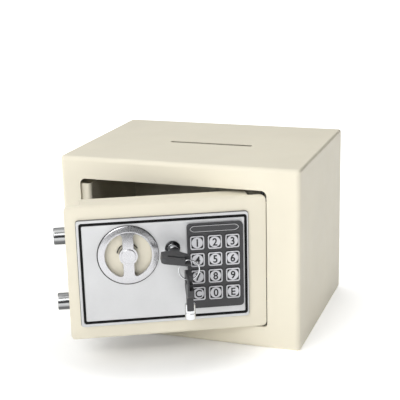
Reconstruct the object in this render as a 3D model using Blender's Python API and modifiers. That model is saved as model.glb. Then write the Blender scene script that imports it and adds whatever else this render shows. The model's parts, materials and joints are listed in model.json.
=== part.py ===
"""A small electronic safe with a cash slot, its door ajar and its override keys in the lock.

Metres, +Z up. The origin is the centre of the body's underside, and the door faces -Y.
Every piece of the door is modelled as if the door were shut, and is then swung open with it.
On the door, "proud" is the distance in front of its face and "behind" the distance into the safe.
"""

import math

import bmesh
import bpy
from mathutils import Matrix, Vector

# Body
WIDTH = 0.230
DEPTH = 0.170
HEIGHT = 0.170
WALL = 0.002
FRONT = -DEPTH / 2
FRONT_RADIUS = 0.0045
SIDE_RADIUS = 0.0025
GAP = 0.0003
SLOT_LEFT, SLOT_RIGHT = -0.034, 0.048
SLOT_MIDDLE_Y = -0.0050
SLOT_WIDTH = 0.0055
ANCHOR_X = 0.060
ANCHOR_Y = 0.020
ANCHOR_Z = 0.060
ANCHOR_RADIUS = 0.005
MAT_THICKNESS = 0.002

# Doorway and door plate
DOORWAY_LEFT, DOORWAY_RIGHT = -0.0953, 0.0847
DOORWAY_BOTTOM, DOORWAY_TOP = 0.0211, 0.1497
DOORWAY_RADIUS, DOORWAY_FOOT_RADIUS = 0.0055, 0.0035
JAMB_STEP, JAMB_RIGHT, JAMB_DEPTH = 0.0028, -0.0861, 0.0235
JAMB_SHEET, JAMB_BEND = 0.0015, 0.0035
JAMB_RELIEF = 0.0055
LIP_DEPTH = 0.008
DOOR_LEFT, DOOR_RIGHT = -0.0942, 0.0818
DOOR_BOTTOM, DOOR_TOP = 0.0216, 0.1463
DOOR_MIDDLE_Z = (DOOR_BOTTOM + DOOR_TOP) / 2
PLATE = 0.0025
FLANGE_LEFT, FLANGE_RIGHT = -0.0802, 0.066
FLANGE_DEPTH = 0.0186
BEND_RADIUS = 0.003

# Hinge
HINGE_X = 0.0799
HINGE_BEHIND = 0.0046
HINGE_Y = FRONT + HINGE_BEHIND
PIN_RADIUS = 0.0016
DOOR_OPEN_DEG = 26.6

# Bolts and the plate that carries them
BOLT_RADIUS = 0.0078
BOLT_BEHIND = 0.012
BOLT_MIDDLE_Z = 0.0855
BOLT_SPREAD = 0.0305
BOLT_TIP = -0.1043
BOLT_END = -0.063
BOLT_TRAVEL = 0.0105
SLIDE_FRONT, SLIDE_BACK = 0.0203, 0.0221

# Knob
KNOB_X, KNOB_Z = -0.0407, 0.1000
KNOB_RADIUS = 0.0265
KNOB_INNER = 0.0205
KNOB_BASE, KNOB_EDGE, KNOB_FACE = 0.0026, 0.0042, 0.0058
KNOB_BAR = 0.0105
KNOB_HUB = 0.008
SHAFT_RADIUS = 0.004
CRANK = BOLT_TRAVEL / math.sqrt(2)

# Fascia
FASCIA_LEFT, FASCIA_RIGHT = -0.0845, 0.0655
FASCIA_BOTTOM, FASCIA_TOP = 0.0348, 0.1326
FASCIA_FACE = 0.0023
BORDER_LEFT, BORDER_RIGHT = -0.0826, 0.0646
BORDER_BOTTOM, BORDER_TOP = 0.0371, 0.1305
BORDER_WIDTH = 0.0021

# Keypad
PAD_LEFT, PAD_RIGHT = 0.0110, 0.0605
PAD_BOTTOM, PAD_TOP = 0.0464, 0.1248
PAD_FACE = 0.0055
PAD_RIM = 0.0015
KEY_X, KEY_PITCH_X = 0.01965, 0.01555
KEY_Z, KEY_PITCH_Z = 0.1080, 0.01578
KEY_SIZE = 0.0123
KEY_FACE = 0.0070
LENS_X, LENS_Z = 0.0351, 0.1204
LENS_LENGTH, LENS_HEIGHT = 0.0450, 0.0064

# Override lock and its keys
LOCK_X, LOCK_Z = -0.0016, 0.1033
LOCK_RADIUS = 0.0064
LOCK_BORE = 0.0049
LOCK_FACE = 0.0032
LOCK_BACK = 0.022
TUBE_RADIUS, TUBE_BORE = 0.0046, 0.00335
TUBE_LENGTH = 0.0138
TUBE_TIP_BEHIND = 0.0010
FORK_DEPTH = 0.0055
BOW_END = 0.041
BOW_HALF = 0.0127
BOW_NECK = 0.0042
BOW_THICKNESS = 0.0054
BOW_SLOT = (0.0329, 0.0365)
BOW_SLOT_HALF = 0.0079
RIM_THICKNESS = 0.0014
KEY_TILT_DEG = 9.4
RING_X, RING_Z = 0.0089, 0.0936
RING_RADIUS, RING_WIRE = 0.0087, 0.0005

# Interlock solenoid
PLUNGER_X, PLUNGER_BEHIND = -0.0169, 0.0213
PLUNGER_RADIUS = 0.0025
PLUNGER_TIP, PLUNGER_TOP = 0.0665, 0.1005
INTERLOCK_CRANK = 0.0032

# Cover and battery box on the back of the door
COVER_BACK = 0.0378
COVER_WALL = 0.0015
COVER_LEFT, COVER_RIGHT = -0.075, 0.0635
COVER_BOTTOM, COVER_TOP = 0.0314, 0.1365
POST_RADIUS = 0.0028
CELL_RADIUS, CELL_LENGTH = 0.0071, 0.0492
CELL_LEFT = 0.0104
CELL_PITCH = 0.0149
CELL_LOWEST_Z = 0.06465
BOX_LEFT, BOX_RIGHT = 0.0083, 0.0617
BOX_BOTTOM, BOX_TOP = 0.056, 0.118

PAINT = (0.80, 0.75, 0.62)
STEEL = (0.62, 0.62, 0.61)
PLASTIC = (0.05, 0.05, 0.055)

parts = None
cutters = None


# Scene helpers


def start_scene():
    """Empties the scene and makes a collection for the safe and one for its cutters."""
    global parts, cutters
    for obj in list(bpy.data.objects):
        bpy.data.objects.remove(obj, do_unlink=True)
    parts = bpy.data.collections.new("electronic_safe")
    cutters = bpy.data.collections.new("cutters")
    cutters.hide_render = True
    for collection in (parts, cutters):
        bpy.context.scene.collection.children.link(collection)


def paint(obj, name, colour, roughness, metallic=0.0):
    """Gives the object a plain Principled material, made once for each name."""
    found = bpy.data.materials.get(name)
    if found is None:
        found = bpy.data.materials.new(name)
        found.use_nodes = True
        shader = found.node_tree.nodes["Principled BSDF"]
        shader.inputs["Base Color"].default_value = (*colour, 1.0)
        shader.inputs["Roughness"].default_value = roughness
        shader.inputs["Metallic"].default_value = metallic
    obj.data.materials.clear()
    obj.data.materials.append(found)
    return obj


def painted(obj):
    return paint(obj, "cream_paint", PAINT, 0.45)


def steel(obj):
    return paint(obj, "bright_steel", STEEL, 0.30, 1.0)


def blackened(obj):
    return paint(obj, "blackened_steel", (0.03, 0.03, 0.03), 0.5, 0.8)


def plastic(obj):
    return paint(obj, "dark_plastic", PLASTIC, 0.40)


def add_object(name, bm, smooth=False):
    """Makes an object from a bmesh. Round ones are shaded smooth, with sharp edges kept."""
    bmesh.ops.recalc_face_normals(bm, faces=bm.faces)
    mesh = bpy.data.meshes.new(name)
    bm.to_mesh(mesh)
    bm.free()
    if smooth:
        mesh.shade_smooth()
        mesh.set_sharp_from_angle(angle=math.radians(35))
    obj = bpy.data.objects.new(name, mesh)
    parts.objects.link(obj)
    return obj


def behind(depth, x=0.0, z=0.0):
    """A point of the shut door, at a depth behind its face. A negative depth is proud of it."""
    return Vector((x, FRONT + depth, z))


def bevel(obj, width, segments=2):
    """Rounds the object's sharp edges."""
    modifier = obj.modifiers.new("Bevel", "BEVEL")
    modifier.width = width
    modifier.segments = segments
    modifier.limit_method = "ANGLE"
    modifier.angle_limit = math.radians(50)
    return obj


def cut(obj, *tools, operation="DIFFERENCE"):
    """Cuts the tools out of the object, or joins them to it."""
    for tool in tools:
        modifier = obj.modifiers.new(operation.title(), "BOOLEAN")
        modifier.operation = operation
        modifier.object = tool
        if tool.name not in cutters.objects:
            parts.objects.unlink(tool)
            cutters.objects.link(tool)
            tool.hide_render = True
            tool.display_type = "WIRE"
    return obj


def join(obj, *others):
    return cut(obj, *others, operation="UNION")


def tools_of(obj):
    """The objects that the object's Booleans use, and those that they use in turn."""
    found = []
    for modifier in obj.modifiers:
        if modifier.type == "BOOLEAN":
            found.append(modifier.object)
            found.extend(tools_of(modifier.object))
    return found


def carrier(name, place, parent=None):
    """An empty at a joint, which the moving pieces hang from."""
    empty = bpy.data.objects.new(name, None)
    empty.empty_display_size = 0.01
    empty.location = place
    parts.objects.link(empty)
    bpy.context.view_layer.update()
    if parent is not None:
        hang(parent, empty)
    return empty


def hang(parent, *objects):
    """Parents the objects, and the tools of their Booleans, and leaves them where they are."""
    bpy.context.view_layer.update()
    for obj in objects:
        for each in [obj, *tools_of(obj)]:
            each.parent = parent
            each.matrix_parent_inverse = parent.matrix_world.inverted()


# Shapes


def block(name, low, high):
    """A box between two corners."""
    low, high = Vector(low), Vector(high)
    bm = bmesh.new()
    bmesh.ops.create_cube(bm, size=1.0)
    bmesh.ops.scale(bm, vec=high - low, verts=bm.verts)
    bmesh.ops.translate(bm, vec=(low + high) / 2, verts=bm.verts)
    return add_object(name, bm)


def rod(name, start, end, radius, sides=24):
    """A round bar from one point to another."""
    start, end = Vector(start), Vector(end)
    along = end - start
    turn = Vector((0, 0, 1)).rotation_difference(along).to_matrix().to_4x4()
    bm = bmesh.new()
    bmesh.ops.create_cone(
        bm, cap_ends=True, segments=sides, radius1=radius, radius2=radius, depth=along.length,
        matrix=Matrix.Translation((start + end) / 2) @ turn,
    )
    return add_object(name, bm, smooth=True)


def door_rod(name, x, z, front, back, radius, sides=24):
    """A round bar square to the door's face, between two depths."""
    return rod(name, behind(front, x, z), behind(back, x, z), radius, sides)


def tube(name, x, z, front, back, radius, bore, sides=24):
    """A round tube square to the door's face."""
    hole = door_rod(name + "_bore", x, z, front - 0.001, back + 0.001, bore, sides)
    return cut(door_rod(name, x, z, front, back, radius, sides), hole)


def arc(centre_x, centre_y, radius, start_deg, end_deg, steps):
    """Points along an arc, both ends included."""
    points = []
    for step in range(steps + 1):
        angle = math.radians(start_deg + (end_deg - start_deg) * step / steps)
        points.append((centre_x + radius * math.cos(angle), centre_y + radius * math.sin(angle)))
    return points


def circle(centre_x, centre_y, radius, sides=24):
    return arc(centre_x, centre_y, radius, 0, 360, sides)[:-1]


def rounded(left, right, bottom, top, radius, steps=4):
    """The outline of a rectangle with round corners."""
    outline = arc(right - radius, top - radius, radius, 0, 90, steps)
    outline += arc(left + radius, top - radius, radius, 90, 180, steps)
    outline += arc(left + radius, bottom + radius, radius, 180, 270, steps)
    outline += arc(right - radius, bottom + radius, radius, 270, 360, steps)
    return outline


def rectangle(left, right, bottom, top):
    return [(left, bottom), (right, bottom), (right, top), (left, top)]


def slab(name, thickness, outline, holes=()):
    """A flat outline with holes, extruded evenly to both sides of the XY plane, as a mesh."""
    curve = bpy.data.curves.new(name, "CURVE")
    curve.dimensions = "2D"
    curve.fill_mode = "BOTH"
    curve.extrude = thickness / 2
    for points in (outline, *holes):
        spline = curve.splines.new("POLY")
        spline.points.add(len(points) - 1)
        for point, (x, y) in zip(spline.points, points):
            point.co = (x, y, 0.0, 1.0)
        spline.use_cyclic_u = True
    flat = bpy.data.objects.new(name + "_outline", curve)
    parts.objects.link(flat)
    graph = bpy.context.evaluated_depsgraph_get()
    mesh = bpy.data.meshes.new_from_object(flat.evaluated_get(graph))
    bpy.data.objects.remove(flat, do_unlink=True)
    bm = bmesh.new()
    bm.from_mesh(mesh)
    bpy.data.meshes.remove(mesh)
    bmesh.ops.remove_doubles(bm, verts=bm.verts, dist=1e-6)
    return add_object(name, bm)


def place(obj, matrix):
    obj.data.transform(matrix)
    return obj


def door_sheet(name, front, back, outline, holes=()):
    """A sheet parallel to the door's face, between two depths. The outline is in X and Z."""
    sheet = slab(name, back - front, outline, holes)
    turn = Matrix.Rotation(math.radians(90), 4, "X")
    return place(sheet, Matrix.Translation(behind((front + back) / 2)) @ turn)


def level_sheet(name, bottom, top, outline, holes=()):
    """A horizontal sheet. The outline is in X and Y."""
    sheet = slab(name, top - bottom, outline, holes)
    return place(sheet, Matrix.Translation((0, 0, (bottom + top) / 2)))


def side_section(name, left, right, outline):
    """A section in Y and Z, extruded along X."""
    section = slab(name, right - left, outline)
    turn = Matrix.Rotation(math.radians(90), 4, "Z") @ Matrix.Rotation(math.radians(90), 4, "X")
    return place(section, Matrix.Translation(((left + right) / 2, 0, 0)) @ turn)


def mirrored_z(z):
    """The height that mirrors z about the door's middle."""
    return 2 * DOOR_MIDDLE_Z - z


# Body


def make_body_shell():
    """The folded wrap with its front frame, doorway, left jamb, cash slot and floor anchor holes."""
    bm = bmesh.new()
    bmesh.ops.create_cube(bm, size=1.0)
    bmesh.ops.scale(bm, vec=(WIDTH, DEPTH, HEIGHT), verts=bm.verts)
    bmesh.ops.translate(bm, vec=(0, 0, HEIGHT / 2), verts=bm.verts)
    bmesh.ops.delete(bm, geom=[f for f in bm.faces if f.normal.y > 0.9], context="FACES_ONLY")
    weight = bm.edges.layers.float.new("bevel_weight_edge")
    for edge in bm.edges:
        ends = [vertex.co.y for vertex in edge.verts]
        if max(ends) < 0:
            edge[weight] = 1.0
        elif min(ends) < 0:
            edge[weight] = SIDE_RADIUS / FRONT_RADIUS
    shell = add_object("body_shell", bm)
    rounding = shell.modifiers.new("Bevel", "BEVEL")
    rounding.limit_method = "WEIGHT"
    rounding.width = FRONT_RADIUS
    rounding.segments = 4
    thick = shell.modifiers.new("Solidify", "SOLIDIFY")
    thick.thickness = WALL
    thick.offset = -1.0
    thick.use_even_offset = True

    for name, low, high in doorway_lips():
        join(shell, block(name, low, high))
    cut(shell, door_sheet("doorway", -0.001, JAMB_DEPTH, doorway_outline()))
    low, high = (HINGE_X, HINGE_Y, 0.016), (HINGE_X, HINGE_Y, 0.024)
    cut(shell, rod("pin_hole", low, high, PIN_RADIUS + 0.0006))
    low, high = DOORWAY_BOTTOM + JAMB_RELIEF, DOORWAY_TOP - JAMB_RELIEF
    join(shell, level_sheet("jamb", low, high, jamb_outline()))
    for side in (-1, 1):
        z = BOLT_MIDDLE_Z + side * BOLT_SPREAD
        start = behind(BOLT_BEHIND, DOORWAY_LEFT - 0.010, z)
        end = behind(BOLT_BEHIND, JAMB_RIGHT + 0.001, z)
        cut(shell, rod("strike_hole", start, end, BOLT_RADIUS + 0.0005))
        foot = (side * ANCHOR_X, ANCHOR_Y)
        cut(shell, rod("floor_hole", (*foot, -0.001), (*foot, 0.003), ANCHOR_RADIUS))
    middle = SLOT_MIDDLE_Y
    slot = rounded(SLOT_LEFT, SLOT_RIGHT, middle - SLOT_WIDTH / 2, middle + SLOT_WIDTH / 2, 0.0012, 2)
    cut(shell, level_sheet("cash_slot", HEIGHT - 0.004, HEIGHT + 0.001, slot))
    return painted(shell)


def doorway_lips():
    """The short returns behind the doorway's foot and its hinge side, as boxes."""
    front, back = FRONT + WALL / 2, FRONT + LIP_DEPTH
    foot_top = DOORWAY_BOTTOM + WALL
    yield "foot_lip", (-0.080, front, DOORWAY_BOTTOM - WALL), (DOORWAY_RIGHT - 0.0010, back, foot_top)
    yield "side_lip", (DOORWAY_RIGHT + 0.0005, front, 0.030), (DOORWAY_RIGHT + 0.0025, back, 0.138)


def jamb_outline():
    """The jamb's section: a stop that the door closes on, folded back into the safe."""
    left, right, step = DOORWAY_LEFT - 0.004, JAMB_RIGHT, FRONT + JAMB_STEP
    bend, sheet, rear = JAMB_BEND, JAMB_SHEET, FRONT + JAMB_DEPTH
    outline = [(left, step + sheet), (left, FRONT + WALL / 2), (DOORWAY_LEFT - 0.0003, FRONT + WALL / 2)]
    outline += [(DOORWAY_LEFT - 0.0003, step)]
    outline += arc(right - bend, step + bend, bend, -90, 0, 5)
    outline += [(right, rear), (right - sheet, rear)]
    return outline + arc(right - bend, step + bend, bend - sheet, 0, -90, 5)


def doorway_outline():
    """The doorway, with tighter corners at its foot."""
    left, right, foot = DOORWAY_LEFT, DOORWAY_RIGHT, DOORWAY_FOOT_RADIUS
    top = DOORWAY_TOP - DOORWAY_RADIUS
    outline = arc(right - DOORWAY_RADIUS, top, DOORWAY_RADIUS, 0, 90, 5)
    outline += arc(left + DOORWAY_RADIUS, top, DOORWAY_RADIUS, 90, 180, 5)
    outline += arc(left + foot, DOORWAY_BOTTOM + foot, foot, 180, 270, 4)
    outline += arc(right - foot, DOORWAY_BOTTOM + foot, foot, 270, 360, 4)
    return outline


def make_back_panel():
    """The flat panel welded into the back of the wrap, with two anchor holes."""
    half = WIDTH / 2 - WALL - GAP
    outline = rectangle(-half, half, WALL + GAP, HEIGHT - WALL - GAP)
    holes = [circle(side * ANCHOR_X, ANCHOR_Z, ANCHOR_RADIUS) for side in (-1, 1)]
    return painted(door_sheet("back_panel", DEPTH - WALL, DEPTH, outline, holes))


def make_floor_mat():
    """The felt mat on the floor, with holes over the anchor holes."""
    outline = rectangle(-0.110, 0.110, -0.078, 0.080)
    holes = [circle(side * ANCHOR_X, ANCHOR_Y, ANCHOR_RADIUS + 0.001, 20) for side in (-1, 1)]
    low = WALL + GAP
    mat = level_sheet("floor_mat", low, low + MAT_THICKNESS, outline, holes)
    return paint(mat, "dark_felt", (0.06, 0.06, 0.06), 0.95)


def make_hinge_bracket(name, side):
    """An angle behind the front frame, with the pin that the door turns on. side is 1 at the top."""

    def span(low, high):
        return (low, high) if side > 0 else (mirrored_z(high), mirrored_z(low))

    frame_back = FRONT + WALL + GAP
    tab, leg, pin = span(0.1505, 0.1525), span(0.1505, 0.1635), span(0.1375, 0.1515)
    bracket = block(name, (0.072, frame_back, leg[0]), (0.090, frame_back + WALL, leg[1]))
    join(bracket, block(name + "_tab", (0.072, frame_back, tab[0]), (0.090, FRONT + 0.010, tab[1])))
    axis = (HINGE_X, HINGE_Y)
    join(bracket, rod(name + "_pin", (*axis, pin[0]), (*axis, pin[1]), PIN_RADIUS, 20))
    return blackened(bracket)


# Door plate and what is fixed to it


def make_door_panel():
    """The door plate with its folded flanges and the posts that the inner cover screws to."""
    rear, bend = FRONT + FLANGE_DEPTH, FRONT + BEND_RADIUS
    channel = [(rear, DOOR_TOP)]
    channel += arc(bend, DOOR_TOP - BEND_RADIUS, BEND_RADIUS, 90, 180, 5)
    channel += arc(bend, DOOR_BOTTOM + BEND_RADIUS, BEND_RADIUS, 180, 270, 5)
    channel += [(rear, DOOR_BOTTOM), (rear, DOOR_BOTTOM + PLATE)]
    channel += [(FRONT + PLATE, DOOR_BOTTOM + PLATE), (FRONT + PLATE, DOOR_TOP - PLATE)]
    channel += [(rear, DOOR_TOP - PLATE)]
    panel = side_section("door_panel", DOOR_LEFT, DOOR_RIGHT, channel)
    for name, left, right in (
        ("left_end", DOOR_LEFT - 0.001, FLANGE_LEFT), ("right_end", FLANGE_RIGHT, DOOR_RIGHT + 0.001),
    ):
        cut(panel, block(name, behind(PLATE, left, 0.010), behind(0.030, right, 0.160)))
    outline = rounded(DOOR_LEFT, DOOR_RIGHT, DOOR_BOTTOM, DOOR_TOP, DOORWAY_RADIUS)
    cut(panel, door_sheet("plate_corners", -0.001, 0.030, outline), operation="INTERSECT")
    cut(panel, door_rod("shaft_hole", KNOB_X, KNOB_Z, -0.002, 0.004, SHAFT_RADIUS + 0.0004))
    cut(panel, door_rod("lock_hole", LOCK_X, LOCK_Z, -0.002, 0.004, LOCK_RADIUS + GAP))
    ribbon = rounded(0.025, 0.045, 0.050, 0.055, 0.001, 2)
    cut(panel, door_sheet("ribbon_slot", -0.002, 0.004, ribbon))
    for x, z in screw_places():
        join(panel, door_rod("post", x, z, PLATE / 2, FLANGE_DEPTH, POST_RADIUS, 16))
        cut(panel, door_rod("post_hole", x, z, PLATE + 0.001, FLANGE_DEPTH + 0.001, 0.0016, 12))
    return painted(panel)


def make_hinge_lug(name, side):
    """A lug behind the plate whose ear turns on the hinge pin. side is 1 at the top."""

    def span(low, high):
        return (low, high) if side > 0 else (mirrored_z(high), mirrored_z(low))

    near, far = FRONT + PLATE + GAP, HINGE_Y + 0.004
    leg, ear = span(0.125, 0.1410), span(0.1390, 0.1410)
    lug = block(name, (0.067, near, leg[0]), (0.074, near + WALL, leg[1]))
    # The ear starts just in front of the leg, so that no faces coincide.
    outline = rounded(0.067, HINGE_X + 0.0037, near - 0.00001, far, 0.0006, 2)
    hole = circle(HINGE_X, HINGE_Y, PIN_RADIUS + 0.0002, 20)
    join(lug, level_sheet(name + "_ear", *ear, outline, [hole]))
    return blackened(lug)


def make_bolt_guide():
    """The upright inside the door that the two bolts slide through."""
    near, far = FRONT + PLATE + GAP, FRONT + FLANGE_DEPTH - GAP
    low, high = DOOR_BOTTOM + PLATE + GAP, DOOR_TOP - PLATE - GAP
    left = FLANGE_LEFT + GAP
    guide = block("bolt_guide", (left, near, low), (left + 0.0018, far, high))
    for side in (-1, 1):
        middle = behind(BOLT_BEHIND, FLANGE_LEFT, BOLT_MIDDLE_Z + side * BOLT_SPREAD)
        reach = Vector((0.004, 0, 0))
        cut(guide, rod("guide_hole", middle - reach, middle + reach, BOLT_RADIUS + 0.00035))
    return steel(guide)


def make_fascia():
    """The bright plate on the door, cut out for the knob, lock and keypad, with a border groove."""
    outline = rounded(FASCIA_LEFT, FASCIA_RIGHT, FASCIA_BOTTOM, FASCIA_TOP, 0.0022, 3)
    fascia = bevel(door_sheet("fascia", -FASCIA_FACE, -GAP, outline), 0.0005, 1)
    window = rectangle(
        PAD_LEFT + PAD_RIM, PAD_RIGHT - PAD_RIM, PAD_BOTTOM + PAD_RIM, PAD_TOP - PAD_RIM
    )
    cut(fascia, door_sheet("pad_window", -0.004, 0.0, window))
    cut(fascia, door_rod("knob_window", KNOB_X, KNOB_Z, -0.004, 0.0, KNOB_RADIUS - 0.003, 40))
    cut(fascia, door_rod("lock_window", LOCK_X, LOCK_Z, -0.004, 0.0, LOCK_RADIUS + 0.0004))
    groove = border_ring("border_groove", -0.004, -FASCIA_FACE + 0.0008, 0.0)
    cut(fascia, groove)
    return paint(fascia, "satin_silver", (0.66, 0.66, 0.66), 0.35, 0.6)


def border_ring(name, front, back, inset):
    """The border's frame shape, with its groove or its inlay inset from the groove's walls."""
    outer = rounded(
        BORDER_LEFT + inset, BORDER_RIGHT - inset, BORDER_BOTTOM + inset, BORDER_TOP - inset, 0.0026, 3
    )
    reach = BORDER_WIDTH + 2 * GAP - inset
    inner = rounded(
        BORDER_LEFT + reach, BORDER_RIGHT - reach, BORDER_BOTTOM + reach, BORDER_TOP - reach, 0.0010, 3
    )
    return door_sheet(name, front, back, outer, [inner])


def make_fascia_border():
    """The black inlay in the fascia's groove."""
    inlay = border_ring("fascia_border", -FASCIA_FACE, -FASCIA_FACE + 0.0005, GAP)
    return paint(inlay, "black_inlay", (0.01, 0.01, 0.01), 0.4)


# Keypad


def key_centres():
    """The name and place of each key, row by row from the top left."""
    names = ("1", "2", "3", "4", "5", "6", "7", "8", "9", "c", "0", "e")
    for index, name in enumerate(names):
        row, column = divmod(index, 3)
        yield name, KEY_X + column * KEY_PITCH_X, KEY_Z - row * KEY_PITCH_Z


def lozenge(length, height):
    """A flat six-sided window with pointed ends."""
    half, tall, point = length / 2, height / 2, 0.0015
    return [
        (LENS_X - half, LENS_Z),
        (LENS_X - half + point, LENS_Z - tall),
        (LENS_X + half - point, LENS_Z - tall),
        (LENS_X + half, LENS_Z),
        (LENS_X + half - point, LENS_Z + tall),
        (LENS_X - half + point, LENS_Z + tall),
    ]


def make_keypad_bezel():
    """The dark frame around the keys, hollow behind, with a shallow seat for the lens."""
    outline = rounded(PAD_LEFT, PAD_RIGHT, PAD_BOTTOM, PAD_TOP, 0.0035, 4)
    back = -FASCIA_FACE - GAP
    half = KEY_SIZE / 2 + GAP
    holes = [rounded(x - half, x + half, z - half, z + half, 0.0018, 2) for _, x, z in key_centres()]
    bezel = door_sheet("keypad_bezel", -PAD_FACE, back, outline)
    pocket = rectangle(
        PAD_LEFT + PAD_RIM, PAD_RIGHT - PAD_RIM, PAD_BOTTOM + PAD_RIM, PAD_TOP - PAD_RIM
    )
    cut(bezel, door_sheet("bezel_pocket", -0.0040, 0.0, pocket))
    cut(bezel, door_sheet("key_holes", -0.007, 0.001, holes[0], holes[1:]))
    seat = lozenge(LENS_LENGTH + 2 * GAP, LENS_HEIGHT + 2 * GAP)
    cut(bezel, door_sheet("lens_seat", -0.007, -0.0045, seat))
    return plastic(bezel)


def make_display_lens():
    lens = door_sheet("display_lens", -0.0057, -0.0048, lozenge(LENS_LENGTH, LENS_HEIGHT))
    return paint(lens, "smoked_lens", (0.06, 0.06, 0.07), 0.1)


def make_keypad_board():
    """The circuit board behind the keys."""
    inset = PAD_RIM + GAP
    outline = rectangle(
        PAD_LEFT + inset, PAD_RIGHT - inset, PAD_BOTTOM + inset, PAD_TOP - inset
    )
    board = door_sheet("keypad_board", -0.0013, -GAP, outline)
    return paint(board, "circuit_board", (0.02, 0.16, 0.06), 0.5)


def make_key(name, x, z):
    """A key cap with a flange that keeps it behind the bezel."""
    half = KEY_SIZE / 2
    key = bevel(
        door_sheet(name, -KEY_FACE, -0.0034, rounded(x - half, x + half, z - half, z + half, 0.0016, 2)),
        0.0004, 1,
    )
    wide = half + 0.00065
    flange = rounded(x - wide, x + wide, z - wide, z + wide, 0.0010, 1)
    join(key, door_sheet(name + "_flange", -0.0038, -0.0032, flange))
    return paint(key, "key_grey", (0.62, 0.62, 0.62), 0.4)


# Bolts, knob and their linkage


def make_bolt(name, z):
    bolt = rod(name, behind(BOLT_BEHIND, BOLT_TIP, z), behind(BOLT_BEHIND, BOLT_END, z), BOLT_RADIUS, 28)
    return steel(bevel(bolt, 0.0009))


def make_slide_plate():
    """The plate that joins the bolts, slotted for the crank and two studs and notched for the plunger."""
    low, high = 0.045, 0.125
    arm_top, arm_end, sheet_end = 0.066, -0.008, -0.037
    left = BOLT_END + GAP
    notch_floor = arm_top - 0.005
    return_x = PLUNGER_X - BOLT_TRAVEL
    outline = [
        (left, low), (arm_end, low), (arm_end, arm_top),
        (PLUNGER_X + 0.0035, arm_top), (PLUNGER_X + 0.0035, notch_floor),
        (PLUNGER_X - 0.0035, notch_floor), (PLUNGER_X - 0.0035, arm_top),
        (return_x + 0.0045, arm_top), (return_x + 0.0030, notch_floor),
        (return_x - 0.0030, notch_floor), (return_x - 0.0045, arm_top),
        (sheet_end, arm_top), (sheet_end, high), (left, high),
    ]
    crank_x, crank_z = KNOB_X - BOLT_TRAVEL / 2, KNOB_Z + BOLT_TRAVEL / 2
    slot_top = KNOB_Z + CRANK + 0.0024
    crank_slot = rounded(crank_x - 0.0024, crank_x + 0.0024, crank_z - 0.0024, slot_top, 0.0022)
    slots = [crank_slot]
    for x, z in stud_places():
        slots.append(rounded(x - BOLT_TRAVEL - 0.0023, x + 0.0023, z - 0.0023, z + 0.0023, 0.0022))
    plate = door_sheet("slide_plate", SLIDE_FRONT, SLIDE_BACK, outline, slots)
    web = block("slide_web", behind(0.006, left, low), behind(SLIDE_BACK, left + 0.0018, high))
    return steel(join(plate, web))


def stud_places():
    """Where the two guide studs stand."""
    return ((-0.043, 0.119), (-0.015, 0.053))


def make_guide_stud(name, x, z):
    """A stud from the door plate, with a head that keeps the slide plate on."""
    stud = door_rod(name, x, z, PLATE + GAP, SLIDE_BACK + 0.0018, 0.0020, 16)
    head = door_rod(name + "_head", x, z, SLIDE_BACK + GAP, SLIDE_BACK + 0.0020, 0.0038, 16)
    return steel(join(stud, head))


def make_knob():
    """The round knob: a ring with a grip bar across it and a hub in the middle."""
    face, edge, base = KNOB_FACE, KNOB_EDGE, KNOB_BASE
    section = [
        (KNOB_INNER, base), (KNOB_INNER, face - 0.0006), (KNOB_INNER + 0.0006, face),
        (KNOB_RADIUS - 0.0003, edge), (KNOB_RADIUS, edge - 0.0003), (KNOB_RADIUS - 0.0012, base),
    ]
    mesh = bpy.data.meshes.new("knob")
    edges = [(i, (i + 1) % len(section)) for i in range(len(section))]
    mesh.from_pydata([(radius, 0, height) for radius, height in section], edges, [])
    knob = bpy.data.objects.new("knob", mesh)
    parts.objects.link(knob)
    turn = knob.modifiers.new("Screw", "SCREW")
    turn.steps = 56
    turn.render_steps = 56
    turn.use_merge_vertices = True
    turn.merge_threshold = 0.00001
    turn.use_normal_calculate = True
    upright = Matrix.Rotation(math.radians(90), 4, "X")
    knob.matrix_world = Matrix.Translation(behind(0, KNOB_X, KNOB_Z)) @ upright
    bpy.context.view_layer.update()
    mesh = bpy.data.meshes.new_from_object(knob.evaluated_get(bpy.context.evaluated_depsgraph_get()))
    mesh.transform(knob.matrix_world)
    bpy.data.objects.remove(knob, do_unlink=True)
    bm = bmesh.new()
    bm.from_mesh(mesh)
    bpy.data.meshes.remove(mesh)
    knob = add_object("knob", bm)
    half, reach = KNOB_BAR / 2, KNOB_INNER + 0.0015
    low = behind(0.0004 - face, KNOB_X - half, KNOB_Z - reach)
    high = behind(-base, KNOB_X + half, KNOB_Z + reach)
    join(knob, bevel(block("grip_bar", low, high), 0.0008, 2))
    join(knob, door_rod("knob_hub", KNOB_X, KNOB_Z, -face - 0.0012, -base, KNOB_HUB, 28))
    return steel(knob)


def make_knob_shaft():
    shaft = door_rod("knob_shaft", KNOB_X, KNOB_Z, -KNOB_BASE + GAP, 0.0132, SHAFT_RADIUS)
    return steel(shaft)


def make_knob_cam():
    """The crank on the shaft's end, whose pin drives the slide plate."""
    x, z = KNOB_X - BOLT_TRAVEL / 2, KNOB_Z + BOLT_TRAVEL / 2
    cam = door_rod("knob_cam", KNOB_X, KNOB_Z, 0.0135, 0.0165, 0.006)
    join(cam, door_rod("knob_cam_arm", x, z, 0.0135, 0.0165, 0.0035, 20))
    join(cam, door_rod("knob_cam_pin", x, z, 0.0140, 0.0250, 0.0020, 20))
    return steel(cam)


# Override lock, keys and ring


def make_lock_body():
    return steel(tube("lock_body", LOCK_X, LOCK_Z, -LOCK_FACE, LOCK_BACK, LOCK_RADIUS, LOCK_BORE, 28))


def make_lock_nut():
    """The hexagon nut that clamps the lock to the plate."""
    hexagon = circle(LOCK_X, LOCK_Z, 0.0100, 6)
    bore = circle(LOCK_X, LOCK_Z, LOCK_RADIUS + GAP, 24)
    return steel(door_sheet("lock_nut", PLATE + GAP, PLATE + 0.0050, hexagon, [bore]))


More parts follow.
